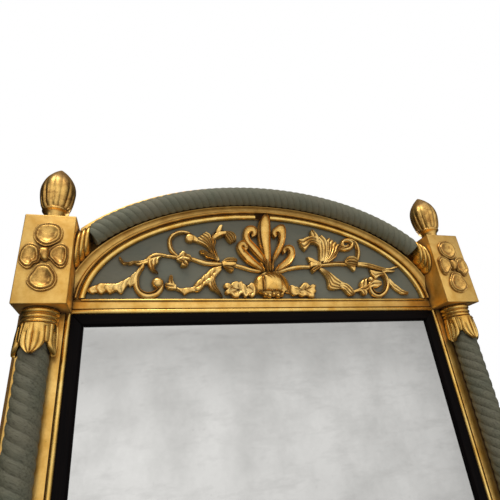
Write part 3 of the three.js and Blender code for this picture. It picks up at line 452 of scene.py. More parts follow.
# the petals' bowls are browned as painted shade
petalGilt = giltMaterial("rubbedLeafOnPetals", {**rubbedLeaf, "light": "#FACB72", "reach": 9, "shadeAndDirtFrom": 0.10, "shadeAndDirtTo": 0.98,
                                                "rough": (0.22, 0.34)})
# the troughs of the palmette and cushion are browned as painted shade
hollowGilt = giltMaterial("leafInHollows", {**giltLook, "light": "#FFD27A", "patch": 22, "rough": (0.18, 0.32), "reach": 8,
                                            "shadeAndDirtFrom": 0.10, "shadeAndDirtTo": 0.94})
# the blocks darken far out from their corners as painted shade, and grow darker towards the top
blockGilt = giltMaterial("leafOnBlocks", {**giltLook, "reach": 70, "shadeAndDirtFrom": 0.30, "shadeAndDirtTo": 0.80, "recessDustAndShade": 0.82,
                                             "recessDustAndShadeDepth": (-1.6, -0.4), "darkerToTop": (30, 165, 0.17)})
# the ropes darken in their grooves and next to the stiles and cove as painted shade
ropePaint = paintMaterial("caseinPaintOnRope", {**paintLook, "base": "#747361", "warm": "#7E7861"}, streak=(0.10, 1, 1), reach=13, slant=-28)
archPaint = paintMaterial("caseinPaintOnArch", {**paintLook, "base": "#83826F", "cool": "#7A7E67", "warm": "#8D8870",
                                                 "marks": 0.4}, reach=11)
# the panel darkens round the carving as painted shade
panelPaint = paintMaterial("caseinPaintOnPanel", {**paintLook, "base": "#7A7B6D", "cool": "#737768", "warm": "#83806D",
                                                  "rubbed": "#83826F", "brush": 5, "marks": 0.16}, streak=(0.3, 1, 1), reach=9)
ebonyUpright = ebonyMaterial("ebonisedWoodUpright", (1, 1, 0.03))
ebonyAcross = ebonyMaterial("ebonisedWoodAcross", (0.03, 1, 1))
plateSilver = plateMaterial("antiquedSilvering", plateLook)
plywood = rawWoodMaterial("plywoodBack", "#A98355", "#7C5B38", (1, 1, 0.05), 3)
stripUpright = rawWoodMaterial("softwoodUpright", "#B9925E", "#8E6A40", (1, 1, 0.04))
stripAcross = rawWoodMaterial("softwoodAcross", "#B9925E", "#8E6A40", (0.04, 1, 1))
plated = platedMaterial("nickelPlatedSteel")
print("materials made")


memberLook = {"edge": 0.9, "beadEdge": 0.35, "slipEdge": 1.2, "beadWide": 1.38}  # the bead nearly fills its seat
stileRight = softenedCopy("stile_right", "stileRight", memberLook["edge"])
stileLeft = copyPiece(stileRight, "stileLeft", mirror=True)
for piece, node in ((stileRight, "stile_right"), (stileLeft, "stile_left"),
                    (softenedCopy("mid_rail", "midRail", memberLook["edge"]), "mid_rail"),
                    (softenedCopy("bottom_rail", "bottomRail", memberLook["edge"]), "bottom_rail")):
    finishPiece(piece, memberGilt, [node], smooth=30)
for node, name, spot, axis in (("sight_bead_right", "sightBeadRight", (410.3, 0, -629), (1, 0, 0)),
                               ("sight_bead_left", "sightBeadLeft", (-410.3, 0, -629), (1, 0, 0)),
                               ("sight_bead_top", "sightBeadTop", (0, 0, levels["slipTop"] + 0.3), (0, 0, 1)),
                               ("sight_bead_bottom", "sightBeadBottom", (0, 0, levels["slipBottom"] - 0.3), (0, 0, 1)),
                               ("lunette_base_bead", "lunetteBaseBead", None, None)):
    piece = softenedCopy(node, name, memberLook["beadEdge"], 2, 20)
    if spot:
        centre = Matrix.Translation(spot)
        piece.data.transform(centre @ Matrix.Scale(memberLook["beadWide"], 4, axis) @ centre.inverted())
    finishPiece(piece, beadGilt, [node], smooth=50)
for node, name, wood in (("slip_right", "slipRight", ebonyUpright), ("slip_left", "slipLeft", ebonyUpright),
                         ("slip_top", "slipTop", ebonyAcross), ("slip_bottom", "slipBottom", ebonyAcross)):
    finishPiece(softenedCopy(node, name, memberLook["slipEdge"]), wood, [node], smooth=35)
print("flat members made")


blockLook = {"edge": 2.2, "depth": 84.8}


def cornerBlock(name, ends):
    left, right = levels["blockSides"]
    deselectAll()
    bpy.ops.mesh.primitive_cube_add(size=1, location=((left + right) / 2, -blockLook["depth"] / 2,
                                                     (ends[0] + ends[1]) / 2),
                                    scale=(right - left, blockLook["depth"], ends[1] - ends[0]))
    piece = bpy.context.object
    piece.name = name
    pick(piece)
    bpy.ops.object.transform_apply(location=True, rotation=True, scale=True)
    openMesh(piece)
    bpy.ops.mesh.bevel(offset=blockLook["edge"], segments=4, affect="EDGES")
    closeMesh(piece)
    return piece


upperRight = cornerBlock("upperBlockRight", levels["upperBlock"])
lowerRight = cornerBlock("lowerBlockRight", levels["lowerBlock"])
blocks = [(copyPiece(upperRight, "upperBlockLeft", mirror=True), "upper_block_left"),
          (copyPiece(lowerRight, "lowerBlockLeft", mirror=True), "lower_block_left"),
          (upperRight, "upper_block_right"), (lowerRight, "lower_block_right")]
for piece, node in blocks:
    finishPiece(piece, blockGilt, [node], smooth=30)
print("blocks made")


ropeLook = {
    "column": {"reeds": 4, "lead": 80, "hollow": 2.6, "ring": 5.5},  # lead: mm along for one turn of a reed
    "arch": {"reeds": 3, "lead": 50, "hollow": 2.2, "ring": 2.6},
    "corners": 72,
    "columnRadius": 26.2,
    "columnAxis": (460.0, -45.4),
    "archRadius": 21.9,
    "archHalfAxes": (450.3, 263.0),
    "archDepth": -48.2,
    "archEnd": 385.7,
}


def reedDepth(angle, reeds):  # 0 on the crown of a reed, 1 in the hollow between two
    within = 2 * ((angle * reeds / (2 * math.pi) + 100) % 1) - 1
    return 0.75 * (1 - math.sqrt(1 - 0.96 * within * within)) + 0.25 * (0.5 - 0.5 * math.cos(math.pi * within))


def longEdges(piece):  # selects the edges that run along the rope
    bpy.ops.mesh.select_mode(type="EDGE")
    mesh = bmesh.from_edit_mesh(piece.data)
    for edge in mesh.edges:
        a, b = (v.co for v in edge.verts)
        edge.select_set(abs(a.z - b.z) > 0.5)


def straightRope(name, radius, length, look):
    deselectAll()
    bpy.ops.mesh.primitive_circle_add(vertices=ropeLook["corners"], radius=radius, fill_type="NGON")
    piece = bpy.context.object
    piece.name = name
    for vertex in piece.data.vertices:  # the circle's corners are pushed in between the reeds
        sunk = look["hollow"] * reedDepth(math.atan2(vertex.co.y, vertex.co.x), look["reeds"])
        vertex.co.xy = vertex.co.xy.normalized() * (radius - sunk)
    openMesh(piece)
    bpy.ops.mesh.extrude_region_move(TRANSFORM_OT_translate={"value": (0, 0, length)})
    bpy.ops.mesh.select_all(action="DESELECT")
    rings = int(length / look["ring"])
    for cuts in (rings // 20, 19):  # cut twice, since one cut takes at most 100
        longEdges(piece)
        bpy.ops.mesh.subdivide(number_cuts=cuts)
    mesh = bmesh.from_edit_mesh(piece.data)
    for vertex in mesh.verts:  # the straight reeds are twisted
        turn = Matrix.Rotation(-2 * math.pi * vertex.co.z / look["lead"], 3, "Z")
        vertex.co = turn @ vertex.co
    closeMesh(piece)
    cleanMesh(piece, 0.005)
    return piece


def archPoint(t, a, b):
    return Vector((a * math.cos(t), 0, b * math.sin(t)))


def bendAlongArch(piece, startX):  # a straight rope is laid along the ellipse, from left to right
    a, b = ropeLook["archHalfAxes"]
    first = math.pi - math.acos(startX / a)
    count = 2000
    angles = [first + (math.acos(startX / a) - first) * i / count for i in range(count + 1)]
    runs = [0.0]
    for t0, t1 in zip(angles, angles[1:]):
        runs.append(runs[-1] + (archPoint(t1, a, b) - archPoint(t0, a, b)).length)
    for vertex in piece.data.vertices:
        share = min(vertex.co.z / runs[-1], 1) * count
        low, high = 0, count
        while high - low > 1:
            middle = (low + high) // 2
            low, high = (middle, high) if runs[middle] <= vertex.co.z else (low, middle)
        step = max(runs[low + 1] - runs[low], 1e-9)
        t = angles[low] + (angles[low + 1] - angles[low]) * (vertex.co.z - runs[low]) / step
        centre = archPoint(t, a, b)
        outward = Vector((b * math.cos(t), 0, a * math.sin(t))).normalized()
        vertex.co = centre + outward * vertex.co.x + Vector((0, ropeLook["archDepth"] + vertex.co.y, 0))
    piece.data.update()


def archRun(endX):  # length of the arch's line between the two ends
    a, b = ropeLook["archHalfAxes"]
    first, last = math.pi - math.acos(endX / a), math.acos(endX / a)
    places = [archPoint(first + (last - first) * i / 2000, a, b) for i in range(2001)]
    return sum((q - p).length for p, q in zip(places, places[1:]))


columnFoot, columnHead = levels["columnEnds"]
columnRight = straightRope("columnRight", ropeLook["columnRadius"], columnHead - columnFoot, ropeLook["column"])
columnRight.data.transform(Matrix.Translation((*ropeLook["columnAxis"], columnFoot)))
trimPiece(columnRight, (0, boardFace, 0), (0, 1, 0))
columnLeft = copyPiece(columnRight, "columnLeft", shift=(-2 * ropeLook["columnAxis"][0], 0, 0))
archRope = straightRope("archRope", ropeLook["archRadius"], archRun(ropeLook["archEnd"]), ropeLook["arch"])
bendAlongArch(archRope, ropeLook["archEnd"])
trimPiece(archRope, (ropeLook["archEnd"], 0, 0), (1, 0, 0))
trimPiece(archRope, (-ropeLook["archEnd"], 0, 0), (-1, 0, 0))
cleanMesh(archRope, 0.005)
for piece, node, paint in ((columnRight, "column_right", ropePaint), (columnLeft, "column_left", ropePaint),
                           (archRope, "arch_rope", archPaint)):
    finishPiece(piece, paint, [node], smooth=60)
print("ropes made")


turnedLook = {
    "capital": [(0, 0), (27.5, 0), (28.0, -1.4), (29.8, -2.4), (31.6, -4.2), (32.3, -6.6), (31.8, -9.0), (30.0, -10.8),
                (28.0, -11.6), (27.8, -12.6), (29.4, -13.4), (31.0, -14.8), (31.5, -16.6), (31.0, -18.4),
                (29.5, -19.8), (27.8, -20.4), (27.7, -21.2), (29.0, -21.9), (30.0, -23.2), (30.3, -24.7),
                (29.9, -26.2), (28.6, -27.4), (27.0, -27.9), (26.6, -30), (0, -30)],
    "base": [(0, 38), (28.2, 38), (29.6, 36.6), (29.9, 34.6), (29.0, 32.4), (27.6, 31.2), (27.4, 28.4),
             (28.2, 26.2), (30.4, 24.6), (31.6, 22.4), (31.8, 19.8), (31.0, 17.2), (29.6, 15.6), (29.4, 14.0),
             (30.8, 12.8), (32.6, 11.4), (33.0, 9.0), (33.0, 3.2), (32.6, 1.2), (31.6, 0.2), (0, 0)],
    "finial": [(0, 0.2), (20.8, 0.2), (21.3, 1.4), (20.9, 3.2), (19.6, 5.4), (18.4, 9), (17.9, 13), (18.0, 17),
               (18.8, 21), (20.4, 24.6), (22.4, 26.8), (24.4, 28.2), (25.6, 29.8), (25.6, 31.2), (24.8, 32.4),
               (24.2, 33.2), (25.2, 34.4), (27.2, 37.2), (28.9, 41.2), (30.2, 46.4), (31.6, 52.4), (32.9, 59.5),
               (33.8, 66.5), (34.4, 74), (34.4, 80), (33.6, 87.5), (31.8, 95), (29.0, 102.5), (25.2, 109.6),
               (20.9, 116), (16.3, 122), (11.8, 127), (7.5, 131.2), (4.0, 134.6), (1.6, 136.3), (0, 136.9)],
    "finialY": -42.4,
    "lobes": 13,
    "lobeDeep": 3.6,
}

def turnedPair(name, profile, height, node, material):
    piece = turnedPiece(name + "Right", [(r, height + z) for r, z in profile], levels["columnAxis"], 96)
    trimPiece(piece, (0, boardFace, 0), (0, 1, 0))
    twin = copyPiece(piece, name + "Left", mirror=True)
    finishPiece(piece, material, [node + "_right"], smooth=60)
    finishPiece(twin, material, [node + "_left"], smooth=60)


turnedPair("capitalRings", turnedLook["capital"], levels["upperBlock"][0] - 0.3, "capital_rings", turnedGilt)
turnedPair("columnBase", turnedLook["base"], levels["lowerBlock"][1] + 0.3, "column_base", turnedGilt)


def lobedFinial():
    foot = levels["upperBlock"][1]
    axis = (levels["columnAxis"][0], turnedLook["finialY"])
    piece = turnedPiece("finialRight", [(r, foot + z) for r, z in turnedLook["finial"]], axis, 132)
    for vertex in piece.data.vertices:  # the bud is gadrooned, deepest at its foot
        height = vertex.co.z - foot
        if height < 33.8:
            continue
        fade = max(0, 1 - max(0, height - 52) / 58) ** 0.7
        outward = Vector((vertex.co.x - axis[0], vertex.co.y - axis[1]))
        if outward.length < 0.5:
            continue
        turn = math.atan2(outward.y, outward.x) * turnedLook["lobes"] / (2 * math.pi)
        within = 2 * ((turn + 100) % 1) - 1
        sunk = turnedLook["lobeDeep"] * fade * (1 - math.sqrt(1 - 0.97 * within * within))
        sunk *= min(1, outward.length / 30 + 0.25)
        place = outward.normalized() * (outward.length - sunk)
        vertex.co.x, vertex.co.y = axis[0] + place.x, axis[1] + place.y
        if height < 43:  # each lobe rounds under at its foot
            vertex.co.z += 1.4 * within * within * (43 - height) / 9
    piece.data.update()
    return piece


finialRight = lobedFinial()
finialLeft = copyPiece(finialRight, "finialLeft", mirror=True)
finishPiece(finialRight, budGilt, ["finial_right"], smooth=60)
finishPiece(finialLeft, budGilt, ["finial_left"], smooth=60)
print("turnings made")


archLook = {
    "squash": [(380, 176.4), (395, 176.4), (407, 175.7), (443, 187.0), (492, 187.3)],  # half axes' difference
    "steps": 128,
    "bead": {"inner": 388.9, "outer": 401.2, "foot": -24.3, "high": 6.8, "gap": 15, "gapLeft": 23},
    "cove": [(403.8, 0), (403.7, 4.2), (404.0, 6.4), (405.0, 7.6), (406.4, 7.6), (407.4, 6.4), (408.0, 3.6), (408.8, 1.8),
             (411.0, 1.2), (414.0, 1.7), (417.2, 3.0), (420.2, 5.0), (422.6, 7.4), (423.4, 8.8), (425.4, 9.2),
             (427.2, 8.6), (428.2, 6.6), (430.6, 3.6), (434.0, 1.8), (438.0, 0.8), (443.0, 0)],
    "boardEdge": 1.6,
}


def archSquash(radius):
    table = archLook["squash"]
    for (r0, d0), (r1, d1) in zip(table, table[1:]):
        if radius <= r1:
            share = max(0, (radius - r0) / (r1 - r0))
            return d0 + (d1 - d0) * share
    return table[-1][1]


def archMoulding(name, section, start=0.0, end=math.pi):  # spun as a circle, then lowered to the ellipse
    deselectAll()
    bpy.ops.mesh.primitive_circle_add(vertices=len(section), radius=5, fill_type="NGON")
    piece = bpy.context.object
    piece.name = name
    for vertex, (r, y) in zip(piece.data.vertices, section):
        vertex.co = (r * math.cos(start), y, r * math.sin(start))
    openMesh(piece)
    bpy.ops.mesh.spin(steps=archLook["steps"], angle=end - start, center=(0, 0, 0), axis=(0, 1, 0))
    closeMesh(piece)
    for vertex in piece.data.vertices:
        radius = math.hypot(vertex.co.x, vertex.co.z)
        vertex.co.z *= (radius - archSquash(radius)) / radius
    piece.data.update()
    cleanMesh(piece)
    return piece


overrun = 0.06
coveSection = [(r, boardFace - y) for r, y in archLook["cove"]]
archCove = archMoulding("archCove", coveSection, -overrun, math.pi + overrun)
trimPiece(archCove, (0, 0, levels["lunetteFloor"]), (0, 0, -1))
trimPiece(archCove, (levels["betweenBlocks"] - 0.3, 0, 0), (1, 0, 0))
trimPiece(archCove, (0.3 - levels["betweenBlocks"], 0, 0), (-1, 0, 0))
finishPiece(archCove, coveGilt, ["arch_cove"], smooth=60)

bead = archLook["bead"]
beadSection = [(bead["inner"], bead["foot"])]
for i in range(9):
    turn = math.pi * i / 8
    middle, half = (bead["inner"] + bead["outer"]) / 2, (bead["outer"] - bead["inner"]) / 2
    beadSection.append((middle - math.cos(turn) * half,
                        bead["foot"] - 1.6 - math.sin(turn) * (bead["high"] - 1.6)))
beadSection.append((bead["outer"], bead["foot"]))
archBeadRight = archMoulding("archBeadRight", beadSection, -overrun, math.pi / 2)
trimPiece(archBeadRight, (0, 0, levels["lunetteFloor"]), (0, 0, -1))
trimPiece(archBeadRight, (bead["gap"], 0, 0), (-1, 0, 0))
archBeadLeft = copyPiece(archBeadRight, "archBeadLeft", mirror=True)
trimPiece(archBeadLeft, (-bead["gapLeft"], 0, 0), (1, 0, 0))
finishPiece(archBeadRight, beadGilt, ["arch_bead_right"], smooth=60)
finishPiece(archBeadLeft, beadGilt, ["arch_bead_left"], smooth=60)

seatTurn = bead["gapLeft"] / bead["outer"]  # a near-black strip over the bare seat between the palmette and the left bead: painted shade
seatSection = [(bead["inner"] + 1, boardFace + 0.2), (bead["outer"] + 1.4, boardFace + 0.2),
               (bead["outer"] + 1.4, boardFace - 0.3), (bead["inner"] + 1, boardFace - 0.3)]
beadSeatShadow = archMoulding("beadSeatShadow", seatSection, math.pi / 2, math.pi / 2 + seatTurn)
finishPiece(beadSeatShadow, seatShadeGilt)

archHead = softenedCopy("arch_head", "archHead", archLook["boardEdge"], 3, 40)
finishPiece(archHead, coveGilt, ["arch_head"], smooth=35)
print("arch mouldings made")


collarLook = {"ribs": 3, "from": 386.0, "to": 410.0, "tall": (31.0, 34.0, 37.5), "deep": (24.5, 26.5, 28.5),
              "pinch": 0.88, "steps": 8}


def ropeCollar():
    start, end, ribs, steps = collarLook["from"], collarLook["to"], collarLook["ribs"], collarLook["steps"]
    a, b = ropeLook["archHalfAxes"]
    deselectAll()
    bpy.ops.mesh.primitive_circle_add(vertices=72, radius=1, fill_type="NGON")
    piece = bpy.context.object
    piece.name = "ropeCollarRight"
    stations = []
    for rib in range(ribs):
        for i in range(0 if rib == 0 else 1, steps + 1):
            swell = math.sin(math.pi * i / steps) ** 0.55 if 0 < i < steps else 0
            x = start + (end - start) * (rib + i / steps) / ribs
            size = collarLook["pinch"] + (1 - collarLook["pinch"]) * swell
            middle = b * math.sqrt(1 - (x / a) ** 2) - 5
            stations.append((x, middle, collarLook["tall"][rib] * size, collarLook["deep"][rib] * size))
    x, middle, tall, deep = stations[0]
    unit = [v.co.copy() for v in piece.data.vertices]
    for vertex, corner in zip(piece.data.vertices, unit):
        vertex.co = (x, ropeLook["archDepth"] + corner.y * deep, middle + corner.x * tall)
    openMesh(piece)
    for before, here in zip(stations, stations[1:]):
        bpy.ops.mesh.extrude_region_move(TRANSFORM_OT_translate={"value": (here[0] - before[0], 0, 0)})
        mesh = bmesh.from_edit_mesh(piece.data)
        for vertex in (v for v in mesh.verts if v.select):
            across = (vertex.co.y - ropeLook["archDepth"]) / before[3]
            up = (vertex.co.z - before[1]) / before[2]
            vertex.co.y = ropeLook["archDepth"] + across * here[3]
            vertex.co.z = here[1] + up * here[2]
    closeMesh(piece)
    cleanMesh(piece)
    trimPiece(piece, (0, boardFace, 0), (0, 1, 0))
    trimPiece(piece, (0, 0, levels["lunetteFloor"]), (0, 0, -1))
    return piece


collarRight = ropeCollar()
collarLeft = copyPiece(collarRight, "ropeCollarLeft", mirror=True)
finishPiece(collarRight, turnedGilt, ["rope_collar_right"], smooth=60)
finishPiece(collarLeft, turnedGilt, ["rope_collar_left"], smooth=60)
print("collars made")


carvingLook = {
    "face": -21.9,  # the panel that the carving lies on
    "step": 2.2,  # mm between points along a stroke
    "across": 12,
    "lobe": 14,  # mm of leaf edge for each lobe
    "notch": 0.34,
    "edge": 0.34,  # share of the height where a stroke's edge drops to the panel
}
carvedKinds = {  # widths and heights along a stroke, then across it: middle, rim, vein and squareness
    "leaf": ((0.50, 1.12, 1.10, 0.40), (0.75, 1, 0.97, 0.62), 0.62, 0.92, 0.26, 7),
    "flute": ((0.60, 1, 0.95, 0.50), (0.85, 1, 0.95, 0.70), 1.0, 0.50, 0.0, 3),
    "stem": ((0.80, 1, 1, 0.80), (0.88, 1, 1, 0.88), 1.0, 0.70, 0.0, 2.4),
    "strand": ((0.70, 0.80, 0.80, 0.60), (0.85, 1, 1, 0.85), 1.0, 0.60, 0.0, 2.2),
    "dish": ((0.60, 1.05, 1.10, 0.85), (0.85, 1, 1, 0.90), 0.26, 0.92, 0.0, 16),
    "pendant": ((0.88, 1, 0.99, 0.86, 0.60, 0.20), (1, 0.95, 0.86, 0.76, 0.66, 0.52), 0.86, 1.0, 0.0, 9),
    "tongue": ((0.9, 1, 1, 1), (1, 0.9, 0.75, 0.6), 1.0, 0.55, 0.0, 2.6),
}


bladeLook = {"step": 2.4, "trough": 0.50, "flute": 0.34, "ruffle": 0.42, "frill": 3.2, "rise": (0.80, 1, 1.04, 0.92)}


def footed(piece):  # walls and a back from the grid's edge down to the ground
    openMesh(piece)
    bpy.ops.mesh.extrude_region_move(TRANSFORM_OT_translate={"value": (0, 0, 0)})
    mesh = bmesh.from_edit_mesh(piece.data)
    for vertex in mesh.verts:
        if vertex.select:
            vertex.co.y = 0
    closeMesh(piece)
    return piece


def carvedStroke(kind, width, height, points, lobes=None):  # one gouge-shaped form, on a grid bent to its line
    widths, heights, middle, rim, vein, square = carvedKinds[kind]
    corners = [Vector((x, 0, z)) for x, z in points]
    length = sum((b - a).length for a, b in zip(corners, corners[1:]))
    if kind == "leaf" and lobes is None:
        lobes = max(2, round(length / carvingLook["lobe"]))
    along = max(8, round(length / carvingLook["step"]), 7 * (lobes or 0))
    line = smoothLine(corners, along)
    deselectAll()
    bpy.ops.mesh.primitive_grid_add(x_subdivisions=carvingLook["across"], y_subdivisions=along, size=1)
    piece = bpy.context.object
    edge = carvingLook["edge"]
    for vertex in piece.data.vertices:
        w, s = math.sin(vertex.co.x * math.pi), vertex.co.y + 0.5
        place, way = line[min(along, round(s * along))]
        half = width / 2 * between(widths, s) * (1 + 0.05 * math.sin(19 * s + points[0][0]))
        if s > 0.86:
            half *= math.sqrt(max(0, 1 - ((s - 0.86) / 0.14) ** 2))
        if s < 0.05:
            half *= math.sqrt(max(0, 1 - ((0.05 - s) / 0.05) ** 2)) * 0.6 + 0.4
        size = abs(w)
        crown = edge + (1 - edge) * math.sqrt(max(0, 1 - size ** square))
        crown *= middle + (rim - middle) * size ** 1.5 + vein * math.exp(-(w / 0.17) ** 2)
        if lobes:
            hollowed = 1 - math.sin(math.pi * ((s * lobes - 0.75 * size + 50) % 1))
            half *= 1 - carvingLook["notch"] * hollowed ** 1.6 * size ** 2
            crown *= 1 - 0.34 * hollowed ** 1.4 * size ** 0.7
        side = Vector((-way.z, 0, way.x))
        vertex.co = place + side * (w * half)
        vertex.co.y = -height * between(heights, s) * crown
    return footed(piece)


def carvedBlade(height, flutes, lobes, trough, first, second):  # a leaf between its two drawn edges, base to tip
    sides = [[Vector((x, 0, z)) for x, z in edge] for edge in (first, second)]
    length = max(sum((b - a).length for a, b in zip(side, side[1:])) for side in sides)
    along = max(10, round(length / bladeLook["step"]))
    lines = [smoothLine(side, along, len(first) != len(second)) for side in sides]
    deselectAll()
    bpy.ops.mesh.primitive_grid_add(x_subdivisions=max(12, 6 * flutes), y_subdivisions=along, size=1)
    piece = bpy.context.object
    edge = carvingLook["edge"]
    for vertex in piece.data.vertices:
        w, s = math.sin(vertex.co.x * math.pi), vertex.co.y + 0.5
        (placeA, wayA), (placeB, wayB) = (line[min(along, round(s * along))] for line in lines)
        size = min(1, abs(w))
        crown = edge + (1 - edge) * math.sqrt(max(0, 1 - size ** (12 if trough else 7)))
        flute = 2 * (((w + 1) / 2 * flutes) % 1) - 1
        if trough:
            crown *= bladeLook["trough"] + (1 - bladeLook["trough"]) * size ** 3
        if flutes > 1:
            crown *= 1 - bladeLook["flute"] * flute * flute * min(1, s * 4)
        if lobes:
            ruffle = 1 - math.sin(math.pi * ((s * lobes + 0.4 * size) % 1))
            crown *= 1 - bladeLook["ruffle"] * ruffle ** 1.5 * (0.25 + 0.375 * (w + 1))
        crown *= between(bladeLook["rise"], s)
        if s > 0.92 and not trough:
            crown *= edge + (1 - edge) * math.sqrt(max(0, 1 - ((s - 0.92) / 0.08) ** 2))
        vertex.co = placeA.lerp(placeB, (w + 1) / 2)
        if flutes > 2:
            vertex.co += (wayA + wayB).normalized() * bladeLook["frill"] * s ** 4 * (1 - flute * flute)
        vertex.co.y = -height * crown
    return footed(piece)


def carvedForm(outline, rings, centre, corners=72):  # a rounded form: its outline drawn in, ring by ring
    closed = [Vector((x, 0, z)) for x, z in outline]
    line = smoothLine([*closed[-2:], *closed, *closed[:2]], corners * (len(closed) + 3) // len(closed))
    loop = [place for place, way in line]
    start = min(range(len(loop) // 3), key=lambda i: (loop[i] - closed[0]).length)
    end = min(range(len(loop) * 2 // 3, len(loop)), key=lambda i: (loop[i] - closed[0]).length)
    loop = loop[start:end]
    middle = Vector((centre[0], 0, centre[1]))
    deselectAll()
    bpy.ops.mesh.primitive_circle_add(vertices=len(loop), radius=1, fill_type="NGON")
    piece = bpy.context.object
    for vertex, place in zip(piece.data.vertices, loop):
        vertex.co = place
    mesh = openMesh(piece)
    for share, height in rings:
        bpy.ops.mesh.extrude_region_move(TRANSFORM_OT_translate={"value": (0, 0, 0)})
        mesh = bmesh.from_edit_mesh(piece.data)
        ring = [v for v in mesh.verts if v.select]
        for vertex in ring:
            flat = Vector((vertex.co.x, 0, vertex.co.z))
            rim = min(loop, key=lambda p: ((p - middle).normalized() - (flat - middle).normalized()).length)
            vertex.co = middle + (rim - middle) * share
            vertex.co.y = -height
    closeMesh(piece)
    return piece


def carve(name, strokes, face, forms=()):  # all the strokes of one carving, joined and laid on its ground
    pieces = [carvedStroke(*stroke) for stroke in strokes] + list(forms)
    whole = joinPieces(pieces, name)
    whole.data.transform(Matrix.Translation((0, face, 0)))
    cleanMesh(whole, 0.02)
    return whole


def fromSlip(piece):  # the lunette's carving is drawn with heights above the slip
    piece.data.transform(Matrix.Translation((0, 0, levels["slipTop"])))
    return piece


leftBranch = [
    ("stem", 11, 8, [(-20, 96), (-44, 99), (-60, 104), (-79, 109), (-92, 112), (-107, 113)]),
    ("stem", 12, 8, [(-104, 113), (-125, 112), (-145, 113), (-161, 117), (-175, 122), (-185, 124)]),
    ("strand", 3, 9, [(-108, 114), (-125, 115), (-144, 116), (-166, 122)]),
    ("stem", 10, 8, [(-204, 122), (-213, 132), (-222, 142), (-226, 156), (-225, 170), (-217, 181), (-205, 188),
     (-191, 189), (-178, 185)]),
    ("strand", 3, 10, [(-212, 133), (-219, 144), (-222, 156), (-221, 168), (-214, 178), (-204, 183), (-192, 185)]),
    ("stem", 8, 7, [(-203, 124), (-214, 126), (-225, 128), (-236, 128)]),
    ("strand", 4, 12, [(-131, 176), (-123, 176), (-114, 178), (-106, 182), (-101, 188)]),
    ("strand", 4, 12, [(-132, 180), (-125, 188), (-115, 193), (-104, 194)]),
    ("stem", 10, 8, [(-232, 129), (-250, 131), (-262, 128), (-274, 117), (-283, 104)]),
    ("stem", 13, 8, [(-280, 106), (-289, 90), (-294, 78), (-294, 65), (-291, 51), (-282, 41), (-270, 37),
     (-255, 40), (-245, 50), (-239, 64)]),
    ("strand", 3, 11, [(-282, 96), (-289, 82), (-289, 65), (-285, 51), (-276, 44), (-265, 43), (-255, 48),
     (-246, 58), (-238, 71)]),
]
rightBranch = [
    ("stem", 11, 8, [(-16, 85), (21, 96), (48, 104), (75, 109), (104, 110), (125, 113)]),
    ("stem", 10, 8, [(120, 115), (142, 116), (168, 119), (194, 119), (217, 121), (235, 121)]),
    ("strand", 3, 10, [(129, 119), (151, 121), (177, 123), (198, 124)]),
    ("stem", 11, 11, [(185, 160), (202, 158), (220, 164), (228, 176), (221, 184), (208, 184), (200, 176),
     (202, 167), (212, 168), (215, 173)]),
    ("stem", 13, 9, [(206, 185), (223, 187), (238, 179), (242, 164), (240, 148), (232, 128)]),
    ("strand", 3, 11, [(219, 186), (234, 180), (238, 165), (235, 149), (229, 135)]),
    ("stem", 11, 10, [(295, 104), (304, 85), (302, 66), (291, 48), (272, 37), (257, 40), (250, 51), (250, 64),
     (258, 76), (271, 79)]),
    ("strand", 3, 11, [(292, 93), (296, 78), (293, 63), (284, 50), (270, 44), (259, 48), (257, 59), (261, 69)]),
]
